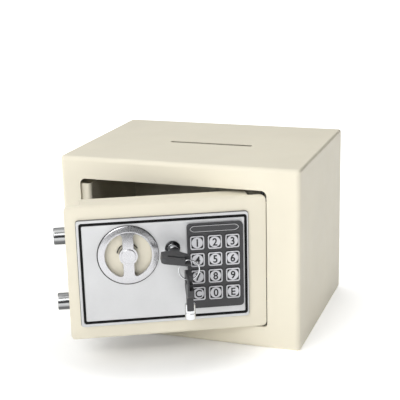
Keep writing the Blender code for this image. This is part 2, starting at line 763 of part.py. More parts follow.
def make_lock_plug():
    """The lock's turning core, thin at the front where the key slips over it."""
    plug = door_rod("lock_plug", LOCK_X, LOCK_Z, -0.0026, 0.0050, 0.0030, 20)
    wide = LOCK_BORE - GAP
    join(plug, door_rod("lock_plug_body", LOCK_X, LOCK_Z, 0.0045, LOCK_BACK + GAP, wide, 20))
    return steel(plug)


def make_lock_cam():
    """The disc on the plug's end, whose off-centre pin lifts the plunger."""
    offset = INTERLOCK_CRANK / math.sqrt(2)
    cam = door_rod("lock_cam", LOCK_X, LOCK_Z, LOCK_BACK + 0.0006, LOCK_BACK + 0.0021, 0.0055)
    join(cam, door_rod("lock_cam_pin", LOCK_X - offset, LOCK_Z + offset, 0.0230, 0.0275, 0.0015, 16))
    return steel(cam)


def bow_outline():
    """A key bow's outline, across and along the key from the tube's tip."""
    half, neck = BOW_HALF, BOW_NECK
    tongue = TUBE_LENGTH - FORK_DEPTH + GAP
    outline = [(neck, tongue), (neck, 0.0195)]
    outline += arc(half - 0.0030, 0.0262, 0.0030, -45, 0, 3)
    outline += arc(half - 0.0040, BOW_END - 0.0040, 0.0040, 0, 90, 4)
    outline += [(-x, y) for x, y in reversed(outline)]
    return outline


def make_key_bow(name, matrix):
    """A key's plastic bow in the XY plane, pointing along +Y, with one side of its rim thinned."""
    hole = rounded(-BOW_SLOT_HALF, BOW_SLOT_HALF, *BOW_SLOT, 0.0016, 3)
    bow = bevel(slab(name, BOW_THICKNESS, bow_outline(), [hole]), 0.0007, 2)
    step = RIM_THICKNESS - BOW_THICKNESS / 2
    low = (-BOW_HALF - 0.001, BOW_SLOT[0] - 0.003, step)
    high = (0.001 - BOW_SLOT_HALF, BOW_END + 0.001, 0.004)
    thin = bevel(block(name + "_thinning", low, high), 0.0006, 1)
    cut(bow, thin)
    place(bow, matrix)
    place(thin, matrix)
    return plastic(bow)


def make_key_barrel(name, matrix):
    """A key's tube with its tip at the origin and its other end forked round the bow's tongue."""
    end = (0, TUBE_LENGTH, 0)
    barrel = rod(name, (0, 0, 0), end, TUBE_RADIUS)
    bore = rod(name + "_bore", (0, -0.001, 0), (0, TUBE_LENGTH - FORK_DEPTH - 0.0015, 0), TUBE_BORE)
    half = BOW_THICKNESS / 2 + GAP
    low, high = (-0.006, TUBE_LENGTH - FORK_DEPTH, -half), (0.006, TUBE_LENGTH + 0.001, half)
    fork = block(name + "_fork", low, high)
    cut(barrel, bore, fork)
    for piece in (barrel, bore, fork):
        place(piece, matrix)
    return steel(barrel)


def inserted_key_matrix():
    """Puts a key in the lock with its bow nearly level, towards the user."""
    tilt = Matrix.Rotation(math.radians(KEY_TILT_DEG), 4, "Y")
    outward = Matrix.Rotation(math.pi, 4, "Z")
    return Matrix.Translation(behind(TUBE_TIP_BEHIND, LOCK_X, LOCK_Z)) @ tilt @ outward


def ring_proud():
    """How far the ring hangs in front of the door's face, at the middle of the bow's slot."""
    return sum(BOW_SLOT) / 2 - TUBE_TIP_BEHIND


def make_key_ring():
    """A wire ring parallel to the door, through the slots of both bows."""
    curve = bpy.data.curves.new("key_ring", "CURVE")
    curve.dimensions = "3D"
    curve.bevel_depth = RING_WIRE
    curve.bevel_resolution = 2
    spline = curve.splines.new("POLY")
    points = circle(0.0, 0.0, RING_RADIUS, 40)
    spline.points.add(len(points) - 1)
    middle = behind(-ring_proud(), RING_X, RING_Z)
    for point, (x, z) in zip(spline.points, points):
        point.co = (middle.x + x, middle.y, middle.z + z, 1.0)
    spline.use_cyclic_u = True
    ring = bpy.data.objects.new("key_ring", curve)
    parts.objects.link(ring)
    return steel(ring)


def spare_key_matrix():
    """Hangs a key from the ring's lowest point, edge on to the door's face."""
    slot_top = RING_Z - RING_RADIUS + RING_WIRE + GAP
    stand = Matrix.Rotation(math.radians(90), 4, "X")
    edge_on = Matrix.Rotation(math.radians(90), 4, "Z")
    tip = behind(-ring_proud(), RING_X, slot_top - BOW_SLOT[1])
    return Matrix.Translation(tip) @ edge_on @ stand


# Interlock solenoid


def make_solenoid_frame():
    """The steel bracket around the coil, open on one side."""
    x, low, high = PLUNGER_X, 0.0775, 0.0940
    outline = [
        (x - 0.008, low), (x + 0.008, low), (x + 0.008, low + WALL), (x - 0.0065, low + WALL),
        (x - 0.0065, high - WALL), (x + 0.008, high - WALL), (x + 0.008, high), (x - 0.008, high),
    ]
    frame = door_sheet("solenoid_frame", 0.0135, 0.0290, outline)
    axis = behind(PLUNGER_BEHIND, x)
    lift = Vector((0, 0, 1))
    return steel(cut(frame, rod("frame_hole", axis + low * lift * 0.9, axis + high * lift * 1.1, 0.0029)))


def make_solenoid_coil():
    axis = behind(PLUNGER_BEHIND, PLUNGER_X)
    low, high = Vector((0, 0, 0.0798)), Vector((0, 0, 0.0917))
    coil = rod("solenoid_coil", axis + low, axis + high, 0.0062)
    reach = Vector((0, 0, 0.001))
    cut(coil, rod("coil_bore", axis + low - reach, axis + high + reach, 0.0029))
    return paint(coil, "copper_winding", (0.45, 0.18, 0.08), 0.4, 0.6)


def make_solenoid_plunger():
    """The plunger, with a spring collar below the coil and a slotted yoke round the lock's pin."""
    axis = behind(PLUNGER_BEHIND, PLUNGER_X)
    up = Vector((0, 0, 1))
    tip, top = axis + PLUNGER_TIP * up, axis + PLUNGER_TOP * up
    plunger = rod("solenoid_plunger", tip, top, PLUNGER_RADIUS, 20)
    join(plunger, rod("plunger_collar", axis + 0.0710 * up, axis + 0.0725 * up, 0.0046, 20))
    left, right = PLUNGER_X - 0.0025, PLUNGER_X + 0.0025
    join(plunger, block("yoke_block", behind(0.0188, left, 0.0992), behind(0.0265, right, 0.1040)))
    offset = INTERLOCK_CRANK / math.sqrt(2)
    slot = rounded(
        LOCK_X - INTERLOCK_CRANK - 0.0018, LOCK_X - offset + 0.0018,
        LOCK_Z + offset - 0.0018, LOCK_Z + offset + 0.0018, 0.0016,
    )
    plate = rectangle(left, 0.0030, 0.1000, 0.1105)
    join(plunger, door_sheet("yoke_plate", 0.0245, 0.0265, plate, [slot]))
    return steel(plunger)


def make_plunger_spring():
    """The coil spring that throws the plunger down, between its collar and the frame."""
    low, high, turns, per_turn, radius = 0.0732, 0.0768, 3, 12, 0.0036
    curve = bpy.data.curves.new("plunger_spring", "CURVE")
    curve.dimensions = "3D"
    curve.bevel_depth = 0.00035
    curve.bevel_resolution = 1
    curve.use_fill_caps = True
    spline = curve.splines.new("POLY")
    count = turns * per_turn + 1
    spline.points.add(count - 1)
    axis = behind(PLUNGER_BEHIND, PLUNGER_X)
    for index, point in enumerate(spline.points):
        angle = 2 * math.pi * index / per_turn
        z = low + (high - low) * index / (count - 1)
        point.co = (axis.x + radius * math.cos(angle), axis.y + radius * math.sin(angle), z, 1.0)
    spring = bpy.data.objects.new("plunger_spring", curve)
    parts.objects.link(spring)
    return steel(spring)


# Inner cover, batteries and reset button


def open_box(name, low, high, wall, open_side):
    """A box with walls, open at the front (-1) or the back (1)."""
    bm = bmesh.new()
    bmesh.ops.create_cube(bm, size=1.0)
    bmesh.ops.scale(bm, vec=high - low, verts=bm.verts)
    bmesh.ops.translate(bm, vec=(low + high) / 2, verts=bm.verts)
    gone = [face for face in bm.faces if face.normal.y * open_side > 0.9]
    bmesh.ops.delete(bm, geom=gone, context="FACES_ONLY")
    box = add_object(name, bm)
    thick = box.modifiers.new("Solidify", "SOLIDIFY")
    thick.thickness = wall
    thick.offset = -1.0
    thick.use_even_offset = True
    return box


def make_inner_cover():
    """The tray that closes the back of the door, with a rim, a battery window and holes."""
    front = FLANGE_DEPTH + GAP
    low = behind(front + 0.0004, COVER_LEFT, COVER_BOTTOM)
    cover = open_box("inner_cover", low, behind(COVER_BACK, COVER_RIGHT, COVER_TOP), COVER_WALL, -1)
    outline = rounded(
        FLANGE_LEFT + 0.0005, FLANGE_RIGHT - 0.0005, DOOR_BOTTOM + 0.0008, DOOR_TOP - 0.0008, 0.0015, 2
    )
    inset = COVER_WALL - 0.0001
    inside = rectangle(
        COVER_LEFT + inset, COVER_RIGHT - inset, COVER_BOTTOM + inset, COVER_TOP - inset
    )
    join(cover, door_sheet("cover_rim", front, front + COVER_WALL, outline, [inside]))
    window = rectangle(0.0110, 0.0595, 0.0590, 0.1150)
    cut(cover, door_sheet("battery_window", COVER_BACK - 0.003, COVER_BACK + 0.001, window))
    cut(cover, door_rod("reset_hole", *reset_place(), COVER_BACK - 0.003, COVER_BACK + 0.001, 0.0030, 16))
    for x, z in screw_places():
        cut(cover, door_rod("screw_hole", x, z, front - 0.002, front + 0.003, 0.0019, 12))
    for side in (-1, 1):
        z = BOLT_MIDDLE_Z + side * BOLT_SPREAD
        start, end = behind(BOLT_BEHIND, FLANGE_LEFT - 0.001, z), behind(BOLT_BEHIND, -0.072, z)
        cut(cover, rod("bolt_notch", start, end, BOLT_RADIUS + 0.0005))
    return paint(cover, "dark_cover", (0.08, 0.08, 0.08), 0.5)


def screw_places():
    """The four cover screws, in the rim above and below the tray."""
    middle = DOOR_MIDDLE_Z
    return [(x, middle + side * 0.0568) for side in (1, -1) for x in (-0.066, 0.052)]


def reset_place():
    return -0.010, 0.040


def make_cover_screw(name, x, z):
    rim_back = FLANGE_DEPTH + GAP + COVER_WALL
    screw = door_rod(name, x, z, 0.0080, rim_back + 0.0010, 0.0012, 12)
    head = door_rod(name + "_head", x, z, rim_back + GAP, rim_back + 0.0020, 0.0027, 16)
    return steel(join(screw, head))


def make_battery_box():
    """The open tray that the four cells lie in."""
    low, high = behind(0.018, BOX_LEFT, BOX_BOTTOM), behind(0.036, BOX_RIGHT, BOX_TOP)
    return plastic(open_box("battery_box", low, high, 0.0012, 1))


def make_battery(index):
    """One cell, with its raised contact at alternate ends."""
    name = f"battery_{index + 1}"
    z = CELL_LOWEST_Z + index * CELL_PITCH
    depth, reach = 0.0268, 0.0008
    contact = CELL_LEFT + CELL_LENGTH if index % 2 else CELL_LEFT
    start, end = behind(depth, CELL_LEFT, z), behind(depth, CELL_LEFT + CELL_LENGTH, z)
    cell = rod(name, start, end, CELL_RADIUS, 20)
    near, far = behind(depth, contact - reach, z), behind(depth, contact + reach, z)
    join(cell, rod(name + "_nub", near, far, 0.0026, 12))
    return paint(cell, "cell_sleeve", (0.05, 0.09, 0.30), 0.35, 0.3)


def make_battery_cover():
    """The cover that slides off the battery window."""
    outline = rounded(0.0085, 0.0620, 0.0565, 0.1175, 0.002, 2)
    cover = door_sheet("battery_cover", COVER_BACK + GAP, COVER_BACK + 0.0018, outline)
    bevel(cover, 0.0004, 1)
    for step in range(3):
        x = 0.0140 + step * 0.0030
        low, high = behind(COVER_BACK + 0.0015, x, 0.078), behind(COVER_BACK + 0.0024, x + 0.0012, 0.096)
        join(cover, block(f"grip_rib_{step}", low, high))
    return paint(cover, "dark_cover", (0.08, 0.08, 0.08), 0.5)


def make_reset_button():
    button = door_rod("reset_button", *reset_place(), 0.0330, COVER_BACK + 0.0020, 0.0025, 16)
    return paint(button, "red_button", (0.55, 0.04, 0.03), 0.4)


def main():
    start_scene()
    make_body_shell()
    make_back_panel()
    make_floor_mat()
    make_hinge_bracket("hinge_bracket_upper", 1)
    make_hinge_bracket("hinge_bracket_lower", -1)

    door = carrier("door_hinge", (HINGE_X, HINGE_Y, 0.0))
    hang(door, make_door_panel(), make_fascia(), make_fascia_border(), make_bolt_guide())
    hang(door, make_hinge_lug("hinge_lug_upper", 1), make_hinge_lug("hinge_lug_lower", -1))
    hang(door, make_keypad_bezel(), make_display_lens(), make_keypad_board())
    for name, x, z in key_centres():
        slide = carrier(f"key_{name}_slide", behind(-KEY_FACE, x, z), door)
        hang(slide, make_key(f"keypad_key_{name}", x, z))

    bolts = carrier("bolt_slide", behind(BOLT_BEHIND, BOLT_TIP, BOLT_MIDDLE_Z), door)
    hang(bolts, make_slide_plate())
    hang(bolts, make_bolt("bolt_upper", BOLT_MIDDLE_Z + BOLT_SPREAD))
    hang(bolts, make_bolt("bolt_lower", BOLT_MIDDLE_Z - BOLT_SPREAD))
    for name, (x, z) in zip(("guide_stud_upper", "guide_stud_lower"), stud_places()):
        hang(door, make_guide_stud(name, x, z))
    knob = carrier("knob_axis", behind(0, KNOB_X, KNOB_Z), door)
    hang(knob, make_knob(), make_knob_shaft(), make_knob_cam())

    hang(door, make_lock_body(), make_lock_nut())
    key = carrier("key_axis", behind(0, LOCK_X, LOCK_Z), door)
    placed = inserted_key_matrix()
    hang(key, make_lock_plug(), make_lock_cam())
    hang(key, make_key_bow("key_bow", placed), make_key_barrel("key_barrel", placed))
    ring = carrier("ring_pivot", behind(-ring_proud(), RING_X, RING_Z + RING_RADIUS), key)
    hang(ring, make_key_ring())
    spare = carrier("spare_key_pivot", behind(-ring_proud(), RING_X, RING_Z - RING_RADIUS), ring)
    placed = spare_key_matrix()
    hang(spare, make_key_bow("spare_key_bow", placed), make_key_barrel("spare_key_barrel", placed))

    hang(door, make_solenoid_frame(), make_solenoid_coil(), make_plunger_spring())
    plunger = carrier("plunger_slide", behind(PLUNGER_BEHIND, PLUNGER_X, PLUNGER_TIP), door)
    hang(plunger, make_solenoid_plunger())

    hang(door, make_inner_cover(), make_battery_box())
    for index, (x, z) in enumerate(screw_places()):
        hang(door, make_cover_screw(f"cover_screw_{index + 1}", x, z))
    for index in range(4):
        hang(door, make_battery(index))
    cover = carrier("battery_cover_slide", behind(COVER_BACK, 0.036, 0.087), door)
    hang(cover, make_battery_cover())
    reset = carrier("reset_slide", behind(COVER_BACK, *reset_place()), door)
    hang(reset, make_reset_button())

    door.rotation_euler.z = math.radians(DOOR_OPEN_DEG)
    bpy.context.view_layer.update()


main()
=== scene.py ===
"""Looks of the small electronic safe: fine shapes, materials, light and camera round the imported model.

Metres, in the model's own frame. Pieces of the door are made as if it were shut, and swung open.
"""

import json
import math

import bmesh
import bpy
from mathutils import Matrix, Vector


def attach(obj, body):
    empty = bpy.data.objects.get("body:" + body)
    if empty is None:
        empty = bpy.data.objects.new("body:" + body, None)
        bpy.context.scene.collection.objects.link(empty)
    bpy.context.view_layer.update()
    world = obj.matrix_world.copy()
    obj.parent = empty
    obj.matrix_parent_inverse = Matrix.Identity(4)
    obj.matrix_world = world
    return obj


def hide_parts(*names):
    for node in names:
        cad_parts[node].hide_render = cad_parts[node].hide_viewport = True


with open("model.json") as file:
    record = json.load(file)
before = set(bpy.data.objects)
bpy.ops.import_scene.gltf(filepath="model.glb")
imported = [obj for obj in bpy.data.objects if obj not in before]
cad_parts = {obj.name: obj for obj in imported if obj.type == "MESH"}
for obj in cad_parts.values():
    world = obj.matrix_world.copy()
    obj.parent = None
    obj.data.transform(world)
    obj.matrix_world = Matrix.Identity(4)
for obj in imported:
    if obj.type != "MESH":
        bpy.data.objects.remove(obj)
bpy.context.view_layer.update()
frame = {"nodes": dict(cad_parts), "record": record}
scene = bpy.context.scene

# Sizes
WIDTH, DEPTH, HEIGHT, WALL = 0.230, 0.170, 0.170, 0.002
FRONT = -DEPTH / 2
FRONT_RADIUS, SIDE_RADIUS = 0.0045, 0.0025
GAP = 0.0003
SLOT = (-0.034, 0.048, -0.00775, -0.00225)
SLOT_SHEET = 0.0006
ANCHOR_X, ANCHOR_Y, ANCHOR_RADIUS = 0.060, 0.020, 0.005
DOORWAY = (-0.0953, 0.0847, 0.0211, 0.1497)
DOORWAY_RADIUS, DOORWAY_FOOT_RADIUS = 0.0055, 0.0035
JAMB_STEP, JAMB_RIGHT, JAMB_DEPTH = 0.0028, -0.0861, 0.0235
JAMB_SHEET, JAMB_BEND = 0.0015, 0.0035
JAMB_RELIEF, LIP_DEPTH = 0.0055, 0.008
DOOR = (-0.0942, 0.0818, 0.0216, 0.1463)
PLATE, BEND_RADIUS = 0.0025, 0.003
FLANGE_LEFT, FLANGE_RIGHT, FLANGE_DEPTH = -0.0802, 0.066, 0.0186
HINGE = Vector((0.0799, FRONT + 0.0046, 0.0))
DOOR_OPEN_DEG = 26.6
BOLT_RADIUS, BOLT_BEHIND, BOLT_TIP, BOLT_END = 0.0078, 0.012, -0.1043, -0.063
BOLT_MIDDLE_Z, BOLT_SPREAD = 0.0855, 0.0305
KNOB_X, KNOB_Z, KNOB_RADIUS, KNOB_INNER = -0.0407, 0.1000, 0.0265, 0.0205
KNOB_BASE, KNOB_EDGE, KNOB_HUB, KNOB_CROWN = 0.0026, 0.0042, 0.0078, 5.5
PIN_RADIUS = 0.0016
FASCIA = (-0.0845, 0.0655, 0.0348, 0.1326)
FASCIA_FACE = 0.0023
BORDER = (-0.0826, 0.0646, 0.0371, 0.1305)
BORDER_WIDTH = 0.0021
PAD = (0.0110, 0.0605, 0.0464, 0.1248)
PAD_FACE = 0.0055
KEY_X, KEY_PITCH_X = 0.01965, 0.01555
KEY_Z, KEY_PITCH_Z = 0.1080, 0.01578
KEY_SIZE, KEY_FACE, KEY_CORNER = 0.0123, 0.0070, 0.0019
KEY_RIM, KEY_DISC_RADIUS, FIGURE_SIZE = 0.00095, 0.0049, 0.0096
LENS_X, LENS_Z, LENS_LENGTH, LENS_HEIGHT = 0.0351, 0.1204, 0.0450, 0.0064
LENS_POINT, LENS_TURN = 0.0030, 0.0016
LOCK_X, LOCK_Z, LOCK_RADIUS, LOCK_BORE = -0.0016, 0.1033, 0.0064, 0.0049
LOCK_FACE, LOCK_BACK = 0.0032, 0.022
TUBE_RADIUS, TUBE_BORE, TUBE_LENGTH, TUBE_TIP_BEHIND = 0.0046, 0.00335, 0.0138, 0.0010
FORK_DEPTH, BOW_END, BOW_HALF, BOW_NECK = 0.0055, 0.041, 0.0127, 0.0042
BOW_THICKNESS, RIM_THICKNESS = 0.0054, 0.0014
BOW_SLOT, BOW_SLOT_HALF = (0.0329, 0.0365), 0.0079
KEY_TILT_DEG = 9.4
RING_X, RING_Z, RING_RADIUS, RING_WIRE = 0.0089, 0.0936, 0.0087, 0.0005
RING_PROUD = sum(BOW_SLOT) / 2 - TUBE_TIP_BEHIND

# The shut door's frame in the world, once it is swung open
SWING = Matrix.Translation(HINGE) @ Matrix.Rotation(math.radians(DOOR_OPEN_DEG), 4, "Z")
SWING = SWING @ Matrix.Translation(-HINGE)
# Turns a shape drawn in X and Y, and extruded in Z, to face the front
UPRIGHT = Matrix.Rotation(math.radians(90), 4, "X")


# Materials


def remapped(tree, value, source, target):
    """A node that moves the value from one range to another."""
    node = tree.nodes.new("ShaderNodeMapRange")
    for name, number in zip(("From Min", "From Max", "To Min", "To Max"), (*source, *target)):
        node.inputs[name].default_value = number
    tree.links.new(value, node.inputs["Value"])
    return node


def shade(colour, factor):
    return tuple(channel * factor for channel in colour)


def banded(tree, value, stops, colour):
    """The colour, made lighter and darker by a list of (position, level) stops along the value."""
    ramp = tree.nodes.new("ShaderNodeValToRGB")
    elements = ramp.color_ramp.elements
    while len(elements) < len(stops):
        elements.new(0.5)
    for element, (position, level) in zip(elements, stops):
        element.position = position
        element.color = (*shade(colour, level), 1.0)
    tree.links.new(value, ramp.inputs["Fac"])
    return ramp.outputs["Color"]


class Shader:
    """A Principled material with named sockets and a few helpers to build its texture."""

    def __init__(self, name, **values):
        self.material = bpy.data.materials.new(name)
        self.material.use_nodes = True
        self.tree = self.material.node_tree
        self.bsdf = self.tree.nodes["Principled BSDF"]
        for key, value in values.items():
            self.bsdf.inputs[key.replace("_", " ")].default_value = value
        self.place = self.tree.nodes.new("ShaderNodeTexCoord").outputs["Object"]

    def link(self, start, end):
        self.tree.links.new(start, end)

    def stretched(self, scale):
        mapping = self.tree.nodes.new("ShaderNodeMapping")
        mapping.inputs["Scale"].default_value = scale
        self.link(self.place, mapping.inputs["Vector"])
        return mapping.outputs["Vector"]

    def noise(self, scale, detail=3.0, roughness=0.5, vector=None):
        node = self.tree.nodes.new("ShaderNodeTexNoise")
        node.inputs["Scale"].default_value = scale
        node.inputs["Detail"].default_value = detail
        node.inputs["Roughness"].default_value = roughness
        self.link(vector or self.place, node.inputs["Vector"])
        return node.outputs["Fac"]

    def roughen(self, value, low, high):
        node = remapped(self.tree, value, (0.3, 0.7), (low, high))
        self.link(node.outputs["Result"], self.bsdf.inputs["Roughness"])

    def colours(self, value, first, second, start=0.3, end=0.7):
        ramp = self.tree.nodes.new("ShaderNodeValToRGB")
        ramp.color_ramp.elements[0].position = start
        ramp.color_ramp.elements[0].color = (*first, 1.0)
        ramp.color_ramp.elements[1].position = end
        ramp.color_ramp.elements[1].color = (*second, 1.0)
        self.link(value, ramp.inputs["Fac"])
        self.link(ramp.outputs["Color"], self.bsdf.inputs["Base Color"])

    def bump(self, value, distance, strength=0.3, under=None):
        node = self.tree.nodes.new("ShaderNodeBump")
        node.inputs["Distance"].default_value = distance
        node.inputs["Strength"].default_value = strength
        self.link(value, node.inputs["Height"])
        if under is not None:
            self.link(under, node.inputs["Normal"])
        self.link(node.outputs["Normal"], self.bsdf.inputs["Normal"])
        return node.outputs["Normal"]


def powder_coat(name, colour, roughness=0.46):
    """Baked powder paint: a fine orange-peel surface with a faint drift in colour."""
    made = Shader(name, Metallic=0.0, Specular_IOR_Level=0.42)
    made.colours(made.noise(14.0, 4.0), shade(colour, 0.965), shade(colour, 1.02))
    made.roughen(made.noise(60.0), roughness - 0.05, roughness + 0.06)
    peel = made.bump(made.noise(620.0, 2.0), 0.00012, 0.22)
    made.bump(made.noise(2600.0, 1.0), 0.00003, 0.15, peel)
    return made.material


def satin_metal(name, colour, roughness, metallic=1.0, scale=(1, 1, 1), depth=0.00002, spots=900.0):
    """Brushed, plated or turned metal: fine grain that can run along one way."""
    made = Shader(name, Metallic=metallic)
    grain = made.stretched(scale)
    made.colours(made.noise(22.0, 3.0), shade(colour, 0.93), shade(colour, 1.03))
    rough = made.noise(spots, 4.0, 0.6, grain)
    made.roughen(rough, roughness * 0.8, roughness * 1.25)
    made.bump(made.noise(spots * 1.6, 2.0, 0.6, grain), depth, 0.25)
    return made.material


def bar_with_painted_reflections(name, colour):
    """Polished bar stock, with painted reflections: lengthwise light and dark bands in its colour over its
    height.
    """
    made = Shader(name, Metallic=1.0)
    made.place = made.tree.nodes.new("ShaderNodeTexCoord").outputs["Generated"]
    height = made.tree.nodes.new("ShaderNodeSeparateXYZ")
    made.link(made.place, height.inputs["Vector"])
    # Painted reflections: the light and dark bands by height stand in for what the polished bar reflects
    stops = [
        (0.0, 0.9), (0.12, 0.85), (0.19, 0.20), (0.34, 0.17), (0.42, 0.45), (0.52, 0.62), (0.60, 0.30),
        (0.66, 0.16), (0.73, 0.55), (0.80, 1.0), (0.88, 0.8), (0.95, 0.25), (1.0, 0.25),
    ]
    made.link(banded(made.tree, height.outputs["Z"], stops, colour), made.bsdf.inputs["Base Color"])
    grain = made.noise(60.0, 4.0, 0.6, made.stretched((0.2, 0.2, 1.0)))
    made.roughen(grain, 0.12, 0.26)
    made.bump(grain, 0.00001, 0.2)
    return made.material


def moulded(name, colour, roughness=0.5, depth=0.00005, scale=1500.0):
    """Moulded plastic with a fine eroded texture."""
    made = Shader(name, Metallic=0.0, Specular_IOR_Level=0.45)
    made.colours(made.noise(40.0, 3.0), shade(colour, 0.9), shade(colour, 1.12))
    made.roughen(made.noise(200.0), roughness * 0.88, roughness * 1.12)
    made.bump(made.noise(scale, 2.0), depth, 0.35)
    return made.material


def felt(name, colour):
    """Matted fibres: short streaks both ways under a fuzzy sheen."""
    made = Shader(name, Roughness=1.0, Sheen_Weight=0.5, Sheen_Roughness=0.6)
    along = made.noise(700.0, 5.0, 0.7, made.stretched((1, 0.25, 1)))
    across = made.noise(520.0, 5.0, 0.7, made.stretched((0.25, 1, 1)))
    made.colours(made.noise(260.0, 6.0, 0.7), shade(colour, 0.6), shade(colour, 1.7), 0.35, 0.65)
    made.bump(across, 0.0004, 0.6, made.bump(along, 0.0004, 0.6))
    return made.material


def circuit(name, colour):
    """A solder-masked board, with tracks as faint raised cells."""
    made = Shader(name, Metallic=0.0, Roughness=0.35)
    cells = made.tree.nodes.new("ShaderNodeTexVoronoi")
    cells.feature = "DISTANCE_TO_EDGE"
    cells.inputs["Scale"].default_value = 260.0
    made.link(made.place, cells.inputs["Vector"])
    made.colours(cells.outputs["Distance"], shade(colour, 1.9), colour, 0.02, 0.05)
    made.bump(cells.outputs["Distance"], 0.00005, 0.3)
    return made.material


def wound(name, colour):
    """Turns of enamelled wire round an upright coil."""
    made = Shader(name, Metallic=0.8, Roughness=0.3)
    wave = made.tree.nodes.new("ShaderNodeTexWave")
    wave.bands_direction = "Z"
    wave.inputs["Scale"].default_value = 900.0
    made.link(made.place, wave.inputs["Vector"])
    made.colours(wave.outputs["Fac"], shade(colour, 0.35), colour, 0.2, 0.8)
    made.bump(wave.outputs["Fac"], 0.0002, 0.8)
    return made.material


CREAM = (0.800, 0.750, 0.616)
MATERIALS = {
    "cream_paint": powder_coat("cream_powder_coat", CREAM),
    "bright_steel": satin_metal("polished_steel", (0.72, 0.73, 0.75), 0.15, depth=0.000002, spots=1500.0),
    "chrome_plate": satin_metal(
        "satin_chrome", (0.60, 0.60, 0.62), 0.28, 0.9, depth=0.0000002, spots=1500.0
    ),
    "satin_silver": satin_metal("satin_aluminium", (0.66, 0.665, 0.675), 0.46, 0.40, (0.06, 1, 1), 0.00001),
    "black_inlay": moulded("black_inlay_paint", (0.001, 0.001, 0.001), 0.9),
    "blackened_steel": satin_metal("blackened_hinge_steel", (0.06, 0.06, 0.062), 0.4),
    "dark_plastic": moulded("charcoal_plastic", (0.042, 0.042, 0.045), 0.48),
    "key_grey": moulded("pale_key_plastic", (0.60, 0.60, 0.63), 0.36, 0.00002),
    "smoked_lens": moulded("smoked_window", (0.035, 0.035, 0.038), 0.18, 0.00001),
    "circuit_board": circuit("green_circuit_board", (0.010, 0.110, 0.040)),
    "copper_winding": wound("copper_winding", (0.75, 0.32, 0.13)),
    "dark_cover": moulded("textured_black_cover", (0.030, 0.030, 0.031), 0.6, 0.00012, 700.0),
    "cell_sleeve": satin_metal("printed_cell_sleeve", (0.04, 0.08, 0.28), 0.30, 0.35),
    "dark_felt": felt("charcoal_felt", (0.030, 0.030, 0.031)),
    "red_button": moulded("red_button_plastic", (0.45, 0.02, 0.015), 0.35),
}
EXTRA = {
    "plate_seal": moulded("grey_edge_seal", (0.16, 0.155, 0.15), 0.7),
    # Steel with painted reflections in light and dark bands along the bolts
    "bolt_painted_reflections": bar_with_painted_reflections("bolt_steel_painted_reflections", (0.78, 0.79, 0.80)),
    "digit_ink": moulded("digit_ink", (0.010, 0.010, 0.012), 0.45),
    "key_well": moulded("key_well_plastic", (0.012, 0.012, 0.013), 0.5),
    "lens_line": moulded("window_outline_paint", (0.42, 0.42, 0.43), 0.4),
    # Painted shade and dark reflection for the front of the lock collar's chrome
    "lock_painted_dark_face": satin_metal("lock_collar_painted_shade_and_reflection", (0.05, 0.05, 0.052), 0.35),
    # Painted shadow beside the knob's hub and under its rim
    "hub_shadow": moulded("hub_painted_shadow", (0.02, 0.018, 0.015), 0.7),
}


# Making pieces


def finished(
    name, mesh, body, nodes, slot, extra=(), softness=0.0, steps=3, angle=35, matrix=None, coat=None
):
    """Turns a mesh into a named piece that rides on a body and stands for the given nodes.

    A coat is an extra material in place of the slot's own one.
    """
    if matrix is not None:
        mesh.transform(matrix)
    mesh.name = name
    numbers = [face.material_index for face in mesh.polygons]
    mesh.materials.clear()
    mesh.materials.append(EXTRA[coat] if coat else MATERIALS[slot])
    for key in extra:
        mesh.materials.append(EXTRA[key])
    mesh.polygons.foreach_set("material_index", numbers if extra else [0] * len(numbers))
    mesh.shade_smooth()
    mesh.set_sharp_from_angle(angle=math.radians(angle))
    piece = bpy.data.objects.new(name, mesh)
    scene.collection.objects.link(piece)
    if softness:
        edge = piece.modifiers.new("Bevel", "BEVEL")
        edge.width = softness
        edge.segments = steps
        edge.limit_method = "ANGLE"
        edge.angle_limit = math.radians(angle)
        edge.miter_outer = "MITER_ARC"
        edge.use_clamp_overlap = True
    weight = piece.modifiers.new("Flat faces", "WEIGHTED_NORMAL")
    weight.keep_sharp = not softness
    weight.weight = 60
    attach(piece, body)
    if nodes:
        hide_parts(*nodes)
    return piece


def temporary(name, mesh):
    obj = bpy.data.objects.new(name, mesh)
    scene.collection.objects.link(obj)
    return obj


def evaluated(obj):
    """The object's mesh with its modifiers and place applied. The object is removed."""
    bpy.context.view_layer.update()
    graph = bpy.context.evaluated_depsgraph_get()
    mesh = bpy.data.meshes.new_from_object(obj.evaluated_get(graph))
    mesh.transform(obj.matrix_world)
    bpy.data.objects.remove(obj, do_unlink=True)
    return mesh


def combine(mesh, *others, operation="DIFFERENCE"):
    """Cuts the other meshes from the first, joins them to it, or keeps what they share."""
    base = temporary("base", mesh)
    tools = [temporary("tool", other) for other in others]
    for tool in tools:
        step = base.modifiers.new("Boolean", "BOOLEAN")
        step.operation = operation
        step.object = tool
        step.solver = "EXACT"
    made = evaluated(base)
    for tool in tools:
        bpy.data.objects.remove(tool, do_unlink=True)
    return made


def merged(*meshes):
    """All the meshes in one, keeping each face's material number."""
    bm = bmesh.new()
    for mesh in meshes:
        bm.from_mesh(mesh)
    made = bpy.data.meshes.new("merged")
    bm.to_mesh(made)
    bm.free()
    return made


def numbered(mesh, index):
    """Gives every face of the mesh one material number."""
    while len(mesh.materials) <= index:
        mesh.materials.append(None)
    for face in mesh.polygons:
        face.material_index = index
    return mesh


def from_bmesh(bm):
    bmesh.ops.recalc_face_normals(bm, faces=bm.faces)
    mesh = bpy.data.meshes.new("shape")
    bm.to_mesh(mesh)
    bm.free()
    return mesh


def softened(mesh, width, steps=3, angle=35):
    """The mesh with its sharp edges rounded."""
    obj = temporary("softened", mesh)
    edge = obj.modifiers.new("Bevel", "BEVEL")
    edge.width = width
    edge.segments = steps
    edge.limit_method = "ANGLE"
    edge.angle_limit = math.radians(angle)
    return evaluated(obj)


